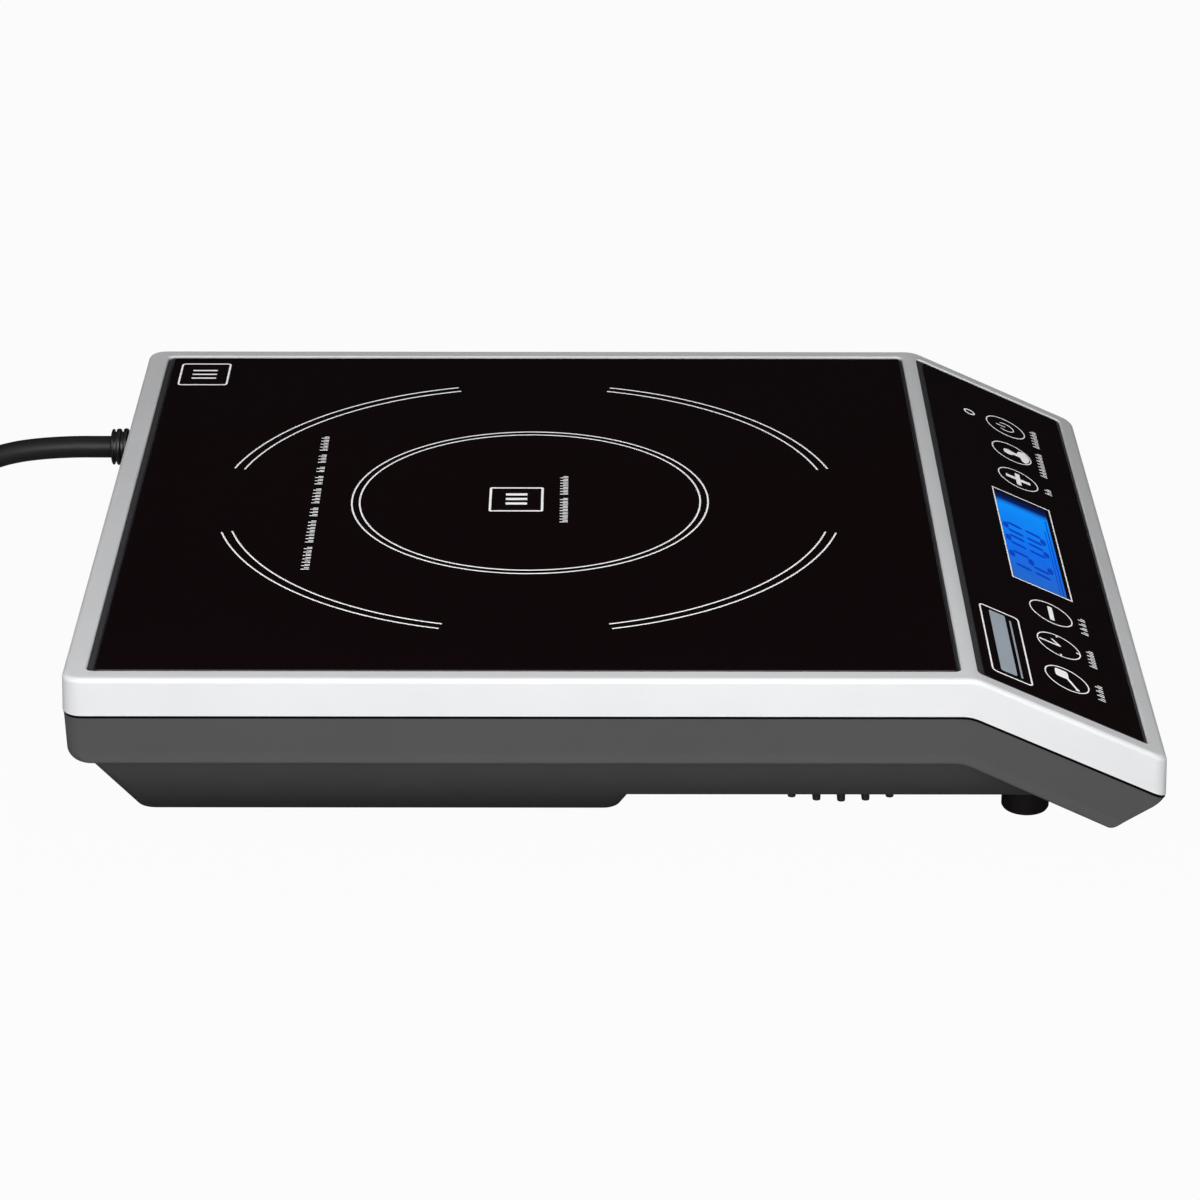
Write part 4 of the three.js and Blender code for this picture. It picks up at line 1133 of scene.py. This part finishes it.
def build_tie(cord):
    """Woven strap round the coil, with its loose end folded over the outside."""
    low, high = cord.lift / MM, (cord.lift + 2 * cord.diameter) / MM
    gap, half = cord.turn_outer - cord.turn_inner, cord.diameter / 2
    near = (cord.turn_inner + 0.15 * gap - half) / MM - 0.5
    far = (cord.turn_outer - 0.31 * gap + half) / MM + 0.5

    def loop(grow, along):
        outline = rounded_outline(near - grow, far + grow, low - 0.2 - grow, high + 0.3 + grow, 3.2 + grow, 6)
        return [(r, along, max(z, 0.05)) for r, z in outline]
    strap = closed_loops([loop(0, -5), loop(0.7, -5), loop(0.7, 5), loop(0, 5)])
    end = slab(far + 0.8, far + 1.5, -5, 5, 0.3, [(low + 2, 0), (high - 2.5, 0)], 2)
    place = Matrix.Translation((cord.coil_x / MM, cord.coil_y / MM, 0)) @ Matrix.Rotation(
        math.radians(225), 4, "Z")
    piece = smoothed(raw_piece("cord_strap", moved(joined(strap, end), place)), simple_finish("strap_weave"))
    return settled(piece, "tie_fabric", "cord_tie")


def plug_place(cord):
    """Lays a shape drawn upright along the cord's end: its height runs towards -X."""
    x, y = cord.coil_x / MM - 22, (cord.coil_y + cord.turn_outer) / MM
    z = (cord.lift + 1.5 * cord.diameter) / MM
    return Matrix(((0, 0, -1, x), (0, 1, 0, y), (1, 0, 0, z), (0, 0, 0, 1)))


def build_plug(cord):
    """Moulded plug with a ribbed boot, a waisted grip, two blades and an earth pin."""
    profile = [(0, 14), (5.6, 14), (6.2, 14.6)]
    for i in range(5):
        at, radius = 17 + 5 * i, 6.5 + 0.36 * i
        profile += [(radius, at), (radius - 1.1, at + 0.6), (radius - 1.1, at + 1.8), (radius, at + 2.4)]
    profile += [(8.7, 42), (9.6, 42.6), (11.6, 44.4), (12.6, 47), (12.6, 52), (12.1, 55), (11.7, 58),
                (12.1, 61), (12.8, 64), (12.8, 70.4), (12.4, 71.5), (11.4, 72), (0, 72)]
    place = plug_place(cord)
    moulding = raw_piece("plug_moulding", moved(turned(profile, 0, 0, 48), place))
    body = smoothed(moulding, simple_finish("plug_rubber"), 50)
    settled(body, "cord_rubber", "plug_body")
    blades = []
    for half, y0, y1 in ((3.2, -7.1, -5.6), (3.9, 5.6, 7.1)):
        side = [(-half, 72.1), (half, 72.1), (half, 86.5), (half - 1.4, 88.9), (1.4 - half, 88.9),
                (-half, 86.5)]
        blades.append(lofted([[(x, y, z) for x, z in side] for y in (y0, y1)]))
    tip = [(2.4 * math.cos(a), 89.6 + 2.4 * math.sin(a)) for a in (0, 0.4, 0.8, 1.2)]
    blades.append(turned([(0, 72.1), (2.4, 72.1)] + tip + [(0, 92)], 8, 0, 24))
    metal = raw_piece("plug_blades", moved(joined(*blades), place))
    bevel = metal.modifiers.new("Soft edges", "BEVEL")
    bevel.width, bevel.segments, bevel.limit_method = 0.25 * MM, 2, "ANGLE"
    metal.data = evaluated_mesh(metal)
    metal.modifiers.clear()
    smoothed(metal, simple_finish("plug_metal"))
    settled(metal, "plug_metal", "plug_blade_line", "plug_blade_neutral", "plug_ground_pin")
    return body, metal


# ---------------------------------------------------------------- small housing pieces

def build_grille():
    """Round intake cover: a flange, a collar and a row of upright ribs."""
    fan_x = (FAN_LOW[0] + FAN_HIGH[0]) / 2
    fan_y = (FAN_LOW[1] + FAN_HIGH[1]) / 2
    ribs = grown("intake_ribs", shared_tree(grille_rib_tree), {
        "Count": 11, "Pitch": 8.4 * MM, "Rib width": 2.8 * MM, "Rib height": 7.0 * MM,
        "Grille radius": 47.6 * MM, "Middle": (fan_x, fan_y, 11.0 * MM),
        "Material": simple_finish("grille_plastic")})
    x, y = fan_x / MM, fan_y / MM
    rim = turned([(41.5, 13.5), (47.6, 13.5), (48, 13.9), (48, 15.2), (43.6, 15.2), (43.6, 17.5),
                  (41.5, 17.5)], x, y, 96)
    piece = carved("intake_cover", rim, (("UNION", shell_of(ribs)),))
    return settled(smoothed(piece, simple_finish("grille_plastic")), "black_plastic", "intake_grille")


def build_feet():
    """Soft feet with a rounded sole and a barbed stem."""
    for name, spots, nodes in (("front_feet", FOOT_SPOTS[:2], ("foot_1", "foot_2")),
                               ("rear_feet", FOOT_SPOTS[2:], ("foot_3", "foot_4"))):
        floor = spots[0][2]
        profile = [(0, 0.4), (4.5, 0.4), (5.0, 0), (7.2, 0), (7.8, 0.25), (8.2, 0.9), (8.2, floor - 1.0),
                   (7.9, floor - 0.4), (7.4, floor - 0.3), (2.8, floor - 0.3), (2.8, floor + 2.6),
                   (3.7, floor + 2.8), (2.2, floor + 5.5), (0, floor + 5.5)]
        piece = repeated(name, turned(profile, sides=48), [(x, y, 0) for x, y, _ in spots],
                         simple_finish("foot_rubber"))
        settled(piece, "foot_rubber", *nodes)


def build_screws():
    """Pan-head screws with a cross recess, sunk in the tray's floor."""
    body = turned([(0, 1.8), (3.2, 1.8), (3.7, 2.2), (3.8, 2.8), (3.8, 4.2), (1.7, 4.2), (1.7, 15.5),
                   (0, 17)], sides=32)
    cross = [("DIFFERENCE", box(-2.0, 2.0, -0.45, 0.45, 1.0, 3.2)),
             ("DIFFERENCE", box(-0.45, 0.45, -2.0, 2.0, 1.0, 3.2))]
    shell = shell_of(carved("screw", body, cross))
    piece = repeated("tray_screws", shell, SCREW_SPOTS, simple_finish("screw_steel"),
                     turn=(0, 0, math.radians(20)))
    settled(piece, "screw_steel", *[f"housing_screw_{i}" for i in range(1, 5)])


# ---------------------------------------------------------------- glass plates and print

def build_cooking_plate():
    """Black glass with a pencil edge, in its silicone bead."""
    x0, x1 = GLASS_LOW[0] / MM, GLASS_HIGH[0] / MM
    y0, y1 = GLASS_LOW[1] / MM, GLASS_HIGH[1] / MM
    plate = slab(x0, x1, y0, y1, 1.6, rounded_levels(GLASS_LOW[2] / MM, GLASS_HIGH[2] / MM, 0.45), 10)
    glass = smoothed(raw_piece("cooking_glass", plate), black_ceramic_glass())
    settled(glass, "cooking_glass", "glass_plate")
    wx0, wx1, wy0, wy1 = WINDOW
    hoop = bead((wx0 + 0.25, wx1 - 0.25, wy0 + 0.25, wy1 - 0.25),
                (x0 - 0.2, x1 + 0.2, y0 - 0.2, y1 + 0.2), (2.3, 1.7), 61.9, 65.85, 0.3)
    seal = smoothed(raw_piece("cooking_glass_bead", hoop), silicone_bead(), 80)
    settled(seal, "silicone", "glass_gasket")


def words(x0, x1, y, counts):
    """One spot a letter, in groups as long as the words of a line of small print."""
    pitch = (x1 - x0) / (sum(counts) + len(counts) - 1)
    spots, at = [], 0.5
    for count in counts:
        spots += [(x0 + pitch * (at + i), y) for i in range(count)]
        at += count + 1
    return spots


def tick_pair(gap, tall, depth):
    """The stand-in for a letter: a thin upright tick and a shorter one beside it."""
    half = 0.2
    return joined(box(-gap / 2 - half, half - gap / 2, -tall / 2, tall / 2, 0, depth),
                  box(gap / 2 - half, gap / 2 + half, -tall / 2, tall * 0.12, 0, depth))


def framed_bars(frame, line, bars, half, ends, low, high):
    """A plain mark: three upright bars in a rounded frame. frame is x0, x1, y0, y1 and its corner radius."""
    outline = rounded_outline(*frame, 3)
    return [stroke(outline, line, low, high, closed=True)] + [
        prism([(x - half, ends[0]), (x + half, ends[0]), (x + half, ends[1]), (x - half, ends[1])], low, high)
        for x in bars]


def build_burner_print(print_):
    """Rings, corner arcs, two plain marks and rows of ticks on the cooking plate."""
    top = GLASS_HIGH[2] / MM
    ink = print_.thickness / MM
    low, high = top - 0.01, top + ink
    middle = (0.0005, 0.03135, (low + high) / 2 * MM)
    tree = shared_tree(double_arc_tree)
    shared = {"Line width": print_.line, "Thickness": (high - low) * MM, "Centre": middle,
              "Material": white_ink_with_painted_glow()}
    rings = grown("burner_ring", tree, {
        **shared, "Radius": print_.inner_ring, "Spacing": 2.85 * MM, "Start": 0.0,
        "Sweep": 2 * math.pi, "Count": 1})
    arcs = grown("burner_arcs", tree, {
        **shared, "Radius": print_.outer_ring, "Spacing": 3.83 * MM, "Start": math.radians(15),
        "Sweep": math.radians(60), "Count": 4})
    for piece in (rings, arcs):
        settled(piece, None)
    spots = words(-61.7, 60.9, 109.4, (7, 7, 3, 5, 3, 2, 3, 5)) + words(-20.1, 22.8, 19.0, (9, 7))
    ticks = repeated("plate_ticks", tick_pair(1.1, 2.9, high - low),
                     [(x, y, low) for x, y in spots], white_ink_with_painted_glow())
    settled(ticks, None)
    marks = framed_bars((113.2, 135.2, 151.4, 170.2, 1.2), 0.7, (120.2, 124.2, 128.2), 0.5,
                        (156.0, 165.6), low, high)
    marks += framed_bars((-9.5, 11.5, 26.9, 45.8, 0.4), 0.85, (-2.8, 1.35, 5.5), 0.9, (32.4, 40.2), low, high)
    piece = smoothed(raw_piece("plate_signs", joined(*marks)), white_ink_with_painted_glow())
    settled(piece, None)


KEY_X = (-116.4, -89.8, -63.4, 56.6, 82.5, 108.3)
KEY_S = 37.5
DISPLAY = (-43.0, 37.0, 25.0, 46.4)


def build_control_glass(bend):
    """Sloping glass with a recess for the display, in its silicone bead."""
    place = bend.panel()
    x0, x1, y0, y1 = PANEL_OPENING
    gx0, gx1, gy0, gy1 = x0 + 1.1, x1 - 1.1, y0 + 1.1, y1 - 2.9
    plate = slab(gx0, gx1, gy0, gy1, 1.5, rounded_levels(-3.3, -0.3, 0.4), 10)
    dx0, dx1, s0, s1 = DISPLAY
    recess = box(dx0, dx1, -s1, -s0, -1.3, 0.5)
    glass = carved("control_glass_plate", moved(plate, place), (("DIFFERENCE", moved(recess, place)),))
    settled(smoothed(glass, black_ceramic_glass()), "panel_glass", "control_glass")
    hoop = bead((x0 + 0.1, x1 - 0.1, y0 + 0.1, y1 - 0.1), (gx0 - 0.05, gx1 + 0.05, gy0 - 0.05, gy1 + 0.05),
                (1.9, 1.6), -3.6, -0.45, 0.25)
    seal = smoothed(raw_piece("control_glass_bead", moved(hoop, place)), silicone_bead(), 80)
    settled(seal, "silicone", "control_gasket")


SEGMENTS = {"0": "abcdef", "1": "bc", "2": "abged"}


def digit(sign, x, s, low, high):
    """Seven-segment figure: x is its middle, s its upper edge, leaning towards +X at the top."""
    width, tall, thick, lean = 6.4, 15.2, 2.3, 0.145
    half = thick / 2
    ends = {"a": ((0, 0), (width, 0)), "b": ((width, 0), (width, tall / 2)),
            "c": ((width, tall / 2), (width, tall)), "d": ((0, tall), (width, tall)),
            "e": ((0, tall / 2), (0, tall)), "f": ((0, 0), (0, tall / 2)),
            "g": ((0, tall / 2), (width, tall / 2))}
    shells = []
    for name in SEGMENTS[sign]:
        (ax, ay), (bx, by) = ends[name]
        along = Vector((bx - ax, by - ay)).normalized()
        side = Vector((-along.y, along.x)) * half
        a = Vector((ax, ay)) + along * 0.35
        b = Vector((bx, by)) - along * 0.35
        corners = [a, a + along * half + side, b - along * half + side, b, b - along * half - side,
                   a + along * half - side]
        flat = [(x - width / 2 + c.x + lean * (tall / 2 - c.y), -(s + c.y)) for c in corners]
        shells.append(prism(flat, low, high))
    return joined(*shells)


def build_display(bend):
    """Lit display pane and its dark figures."""
    place = bend.panel()
    dx0, dx1, s0, s1 = DISPLAY
    pane = slab(dx0 + 0.02, dx1 - 0.02, 0.02 - s1, -s0 - 0.02, 0.1, [(-1.28, 0), (-0.3, 0)], 2)
    lit = smoothed(raw_piece("display_pane", moved(pane, place)), lit_display_with_painted_shadow())
    settled(lit, "lcd_display")
    low, high = -0.3, -0.28
    figures = [digit(sign, x, 26.7, low, high) for sign, x in
               (("1", -34.1), ("2", -22.8), ("0", -8.4), ("0", 2.9))]
    figures += [box(-42.4, 14.0, -44.2, -43.85, low, high), box(-42.4, 24.0, -45.5, -45.0, low, high)]
    dark = smoothed(raw_piece("display_figures", moved(joined(*figures), place)), display_figure())
    settled(dark, "lcd_display")


def round_key_template(print_):
    return stroke(circle_points(0, 0, print_.key_ring / MM, 64), 0.45, 0, print_.thickness / MM, closed=True)


def build_panel_print(print_, bend):
    """Key circles, key pictures, display border, plain name frame and label ticks."""
    place = bend.panel()
    low, high = -0.31, -0.3 + print_.thickness / MM
    spots = [tuple(place @ Vector((x, -KEY_S, low))) for x in KEY_X]
    rings = repeated("key_rings", round_key_template(print_), spots, white_ink_with_painted_glow(), turn=(bend.angle, 0, 0))
    settled(rings, None)
    lock, timer, down, up, function, power = KEY_X

    def bar(x0, x1, s0, s1, radius=0.2):
        return prism(rounded_outline(x0, x1, -s1, -s0, radius, 3), low, high)

    def line(points, width):
        return stroke([(x, -s) for x, s in points], width, low, high)

    marks = [
        bar(lock + 0.3, lock + 6.0, 33.3, 38.3, 1.2), line([(lock + 1.2, 37.6), (lock - 5.6, 41.0)], 1.0),
        bar(lock - 6.0, lock - 4.8, 40.2, 41.6),
        line([(timer, 30.0), (timer, 38.2)], 0.7), line([(timer - 0.1, 38.1), (timer + 3.6, 35.1)], 0.8),
        line([(timer - 8.1, KEY_S), (timer - 6.8, KEY_S)], 0.6),
        line([(timer + 6.8, KEY_S), (timer + 8.1, KEY_S)], 0.6),
        line([(timer, KEY_S + 6.8), (timer, KEY_S + 8.1)], 0.6),
        bar(down - 5.4, down + 5.4, 36.6, 38.4, 0.3),
        bar(up - 5.3, up + 5.3, 36.5, 38.5, 0.3), bar(up - 1.1, up + 1.1, 32.3, 36.45, 0.3),
        bar(up - 1.1, up + 1.1, 38.55, 42.7, 0.3),
        line([(power, 33.4), (power, 37.3)], 0.4),
    ]
    swing = arc_points(power, -KEY_S, 3.5, 140, 400, 30)
    marks.append(stroke(swing, 0.4, low, high))
    finger = [(function - 1.1, 41.0), (function - 1.1, 38.2)]
    finger += [(function - 0.1 + 2.3 * math.cos(a), 36.2 - 2.3 * math.sin(a))
               for a in [math.radians(210 - 240 * i / 12) for i in range(13)]]
    finger += [(function + 1.3, 38.2), (function + 1.3, 39.8), (function + 4.2, 40.6), (function + 5.2, 42.4)]
    finger += [(function + 7.6 * math.cos(a), KEY_S + 7.6 * math.sin(a))
               for a in [math.radians(46 + 88 * i / 10) for i in range(11)]]
    finger += [(function - 4.2, 41.6)]
    marks.append(prism([(x, -s) for x, s in finger], low, high))
    dx0, dx1, s0, s1 = DISPLAY
    border = [(dx0 - 0.7, -s1 - 1.9), (dx1 + 0.3, -s1 - 1.9), (dx1 + 0.3, -s0 + 0.4), (dx0 - 0.7, -s0 + 0.4)]
    marks.append(stroke(border, 0.5, low, high, closed=True))
    marks.append(stroke(rounded_outline(-134.6, -81.6, -22.4, -7.5, 1.6, 4), 0.6, low, high, closed=True))
    marks.append(stroke(circle_points(108.3, -21.7, 2.05, 32), 0.7, low, high, closed=True))
    pictures = smoothed(raw_piece("key_pictures", moved(joined(*marks), place)), white_ink_with_painted_glow())
    settled(pictures, None)
    plate_marks = [bar(-131.6, -84.0, 10.9, 17.0, 0.8), bar(-131.6, -86.4, 18.5, 19.2)]
    plate = smoothed(raw_piece("name_frame_bars", moved(joined(*plate_marks), place)),
                     simple_finish("pale_ink"))
    settled(plate, None)
    ticks = []
    for x, half, count in ((lock, 6.5, 4), (timer, 7.0, 5), (down, 7.2, 4), (up, 3.1, 2),
                           (function, 11.9, 8), (power, 8.6, 6)):
        ticks += [tuple(place @ Vector((a, b, low))) for a, b in words(x - half, x + half, -50.2, (count,))]
    pair = tick_pair(1.35, 2.9, high - low)
    labels = repeated("label_ticks", pair, ticks, white_ink_with_painted_glow(), turn=(bend.angle, 0, 0))
    settled(labels, None)


# ---------------------------------------------------------------- inside

def build_winding():
    """The burner's coil of stranded copper."""
    low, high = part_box("coil_winding")
    middle = ((low[0] + high[0]) / 2, (low[1] + high[1]) / 2, low[2] + 1.4 * MM)
    coil = grown("burner_winding", shared_tree(winding_tree), {
        "Turns": 24.0, "Inner radius": 21.4 * MM, "Outer radius": 86.6 * MM, "Wire radius": 1.3 * MM,
        "Middle": middle, "Material": simple_finish("coil_copper")})
    settled(coil, "coil_copper", "coil_winding")


INNER_FINISHES = {
    "carrier_plastic": ("coil_carrier", "panel_carrier"), "mica": ("mica_sheet",),
    "ceramic": ("thermal_sensor",), "milky_plastic": ("lcd_backlight", "indicator_led"),
    "component_black": ("buzzer", "igbt", "bridge_rectifier"), "fan_plastic": ("fan_frame", "fan_rotor"),
    "coil_copper": ("fan_stator", "filter_choke"), "heatsink_aluminium": ("heatsink",),
    "yellow_film": ("resonant_capacitor", "bus_capacitor"), "blue_film": ("filter_capacitor",),
    "fuse_glass": ("fuse",), "green_terminal": ("terminal_block",),
    "ferrite": [f"ferrite_bar_{i}" for i in range(1, 7)],
    "screw_steel": [f"touch_spring_{i}" for i in range(1, 7)],
}


def finish_nodes(nodes, material):
    for node in nodes:
        mesh = frame["nodes"][node].data
        mesh.materials.clear()
        mesh.materials.append(material)


def finish_frame_nodes():
    """Procedural finishes for the nodes that stay as the frame has them."""
    for name, nodes in INNER_FINISHES.items():
        finish_nodes(nodes, simple_finish(name))
    finish_nodes(["lcd_module"], lit_display_with_painted_shadow())
    finish_nodes(["control_board", "power_board"], circuit_board())


# ---------------------------------------------------------------- stage

def studio_floor():
    """Floor that is near white to the eye and throws little light back up; clear when seen from below."""
    material, shade, shader, place = bare_material("studio_floor")
    tone = group_node(shade, tone_drift_group, {
        "Vector": place, "Color": (0.25, 0.25, 0.25, 1), "Scale": 3.0, "Amount": 0.01})
    shade.tree.links.new(tone["Color"], shader.inputs["Base Color"])
    shader.inputs["Roughness"].default_value = 0.8
    glow = shade.add("ShaderNodeEmission", None, {"Color": (1.0, 1.0, 1.0, 1.0), "Strength": 1.0})
    seen = shade.math("MULTIPLY", shade.add("ShaderNodeLightPath", output="Is Camera Ray"), 0.96)
    mixed = shade.add("ShaderNodeMixShader", None, {0: seen, 1: shader.outputs[0], 2: glow})
    from_below = shade.add("ShaderNodeNewGeometry", output="Backfacing")
    clear = shade.add("ShaderNodeBsdfTransparent")
    end = next(node for node in shade.tree.nodes if node.type == "OUTPUT_MATERIAL")
    shade.tree.links.new(shade.add("ShaderNodeMixShader", None, {0: from_below, 1: mixed, 2: clear}),
                         end.inputs["Surface"])
    return material


def build_stage(stage):
    far = 9000
    corners = [(-far, -far, 0), (far, -far, 0), (far, far, 0), (-far, far, 0)]
    floor = raw_piece("studio_floor", (corners, [(0, 1, 2, 3)]))
    floor.data.materials.append(studio_floor())
    lamps = (
        ("key_light", 35, 0, 1.0, stage.key_power), ("low_light", 20, 0, 1.0, stage.low_power),
        ("front_light", 50, 50, 1.15, stage.front_power), ("rear_light", 50, -50, 1.15, stage.rear_power),
        ("far_light", 62, 180, 1.15, stage.far_power),
        ("front_end_light", 4, 82, 1.15, stage.front_end_power),
        ("rear_end_light", 12, -82, 1.15, stage.rear_end_power),
    )
    for name, height, bearing, reach, power in lamps:
        light = bpy.data.lights.new(name, "AREA")
        light.shape = "DISK"
        light.size = 1.0
        light.energy = power
        lamp = bpy.data.objects.new(name, light)
        up, round_ = math.radians(height), math.radians(bearing)
        away = Vector((-math.cos(up) * math.cos(round_), -math.cos(up) * math.sin(round_), math.sin(up)))
        lamp.location = away * reach
        lamp.rotation_euler = (-away).to_track_quat("-Z", "Y").to_euler()
        bpy.context.scene.collection.objects.link(lamp)
    world = bpy.data.worlds.new("studio_room")
    world.use_nodes = True
    shade = Shading(world.node_tree)
    world.node_tree.nodes.clear()
    height = shade.add("ShaderNodeSeparateXYZ", None, {
        0: shade.add("ShaderNodeTexCoord", output="Generated")}, output="Z")
    ramp = shade.add("ShaderNodeMapRange", {"interpolation_type": "SMOOTHSTEP"}, {
        "Value": height, "From Min": 0.55, "From Max": 0.95, "To Min": 0.15, "To Max": 1.0})
    below = shade.math("MULTIPLY", shade.math("LESS_THAN", height, -0.1), UNDER_GLOW)
    glow = shade.add("ShaderNodeBackground", None, {
        "Color": (1.0, 1.0, 1.0, 1.0),
        "Strength": shade.math("ADD", shade.math("MULTIPLY", ramp, stage.sky), below)})
    end = world.node_tree.nodes.new("ShaderNodeOutputWorld")
    world.node_tree.links.new(glow, end.inputs["Surface"])
    bpy.context.scene.world = world
    camera = bpy.data.cameras.new("studio_camera")
    camera.lens = stage.lens
    camera.sensor_width = 36.0
    camera.clip_end = 50.0
    holder = bpy.data.objects.new("studio_camera", camera)
    turn = Matrix.Rotation(stage.yaw, 3, "Z") @ Matrix(((0, 0, -1), (-1, 0, 0), (0, 1, 0)))
    tilt = Matrix.Rotation(-stage.pitch, 3, "X") @ Matrix.Rotation(stage.roll, 3, "Z")
    holder.matrix_world = Matrix.Translation(stage.place) @ (turn @ tilt).to_4x4()
    bpy.context.scene.collection.objects.link(holder)
    bpy.context.scene.camera = holder
    bpy.context.scene.view_settings.view_transform = "Standard"


# ---------------------------------------------------------------- operators and panel

class BuildStage(bpy.types.Operator):
    """Pale floor, soft lights and the camera"""
    bl_idname = "cooktop.build_stage"
    bl_label = "Stage"

    def execute(self, context):
        build_stage(context.scene.cooktop_stage)
        return {"FINISHED"}


class BuildMainsCord(bpy.types.Operator):
    """Mains cord with its bush, coil, strap and plug"""
    bl_idname = "cooktop.build_mains_cord"
    bl_label = "Mains cord"

    def execute(self, context):
        cord = context.scene.cooktop_cord
        build_strain_relief(Bend(context.scene.cooktop_housing))
        lead, length = build_cord(cord)
        strap = build_tie(cord)
        moulding, blades = build_plug(cord)
        return {"FINISHED"}


class BuildTopFrame(bpy.types.Operator):
    """Bent silver frame round both glass plates"""
    bl_idname = "cooktop.build_top_frame"
    bl_label = "Silver frame"

    def execute(self, context):
        build_top_frame(context.scene.cooktop_housing)
        return {"FINISHED"}


class BuildBaseTray(bpy.types.Operator):
    """Dark base tray with its louvres and bosses"""
    bl_idname = "cooktop.build_base_tray"
    bl_label = "Base tray"

    def execute(self, context):
        build_base(context.scene.cooktop_housing)
        return {"FINISHED"}


class BuildUndersideParts(bpy.types.Operator):
    """Intake cover, feet and screws under the tray"""
    bl_idname = "cooktop.build_underside_parts"
    bl_label = "Underside parts"

    def execute(self, context):
        build_grille()
        build_feet()
        build_screws()
        return {"FINISHED"}


class BuildCookingPlate(bpy.types.Operator):
    """Black cooking glass, its bead and its printed rings"""
    bl_idname = "cooktop.build_cooking_plate"
    bl_label = "Cooking plate"

    def execute(self, context):
        build_cooking_plate()
        build_burner_print(context.scene.cooktop_print)
        return {"FINISHED"}


class BuildControlPanel(bpy.types.Operator):
    """Control glass, its bead, the lit display and the printed keys"""
    bl_idname = "cooktop.build_control_panel"
    bl_label = "Control panel"

    def execute(self, context):
        bend = Bend(context.scene.cooktop_housing)
        build_control_glass(bend)
        build_display(bend)
        build_panel_print(context.scene.cooktop_print, bend)
        return {"FINISHED"}


class BuildInnards(bpy.types.Operator):
    """Burner winding, and finishes for the fan, boards and other inner parts"""
    bl_idname = "cooktop.build_innards"
    bl_label = "Inner parts"

    def execute(self, context):
        build_winding()
        finish_frame_nodes()
        return {"FINISHED"}


BUILDERS = (BuildStage, BuildMainsCord, BuildTopFrame, BuildBaseTray, BuildUndersideParts, BuildCookingPlate,
            BuildControlPanel, BuildInnards)


class CooktopSidebar(bpy.types.Panel):
    """Lists the pieces of the cooktop and their sizes"""
    bl_idname = "VIEW3D_PT_cooktop"
    bl_label = "Induction cooktop"
    bl_space_type = "VIEW_3D"
    bl_region_type = "UI"
    bl_category = "Cooktop"

    def draw(self, context):
        layout = self.layout
        for builder in BUILDERS:
            layout.operator(builder.bl_idname)
        for name in SETTINGS:
            group = getattr(context.scene, name)
            for key in group.__annotations__:
                layout.prop(group, key)


SETTINGS = {
    "cooktop_housing": CooktopHousing,
    "cooktop_print": CooktopPrint,
    "cooktop_cord": CooktopCord,
    "cooktop_colours": CooktopColours,
    "cooktop_stage": CooktopStage,
}


def register():
    for kind in (*SETTINGS.values(), *BUILDERS, CooktopSidebar):
        bpy.utils.register_class(kind)
    for name, kind in SETTINGS.items():
        setattr(bpy.types.Scene, name, bpy.props.PointerProperty(type=kind))


def unregister():
    for name in SETTINGS:
        delattr(bpy.types.Scene, name)
    for kind in (CooktopSidebar, *BUILDERS, *SETTINGS.values()):
        bpy.utils.unregister_class(kind)


def main():
    register()
    bpy.ops.cooktop.build_stage()
    bpy.ops.cooktop.build_mains_cord()
    bpy.ops.cooktop.build_top_frame()
    bpy.ops.cooktop.build_base_tray()
    bpy.ops.cooktop.build_underside_parts()
    bpy.ops.cooktop.build_cooking_plate()
    bpy.ops.cooktop.build_control_panel()
    bpy.ops.cooktop.build_innards()


if __name__ == "__main__":
    main()
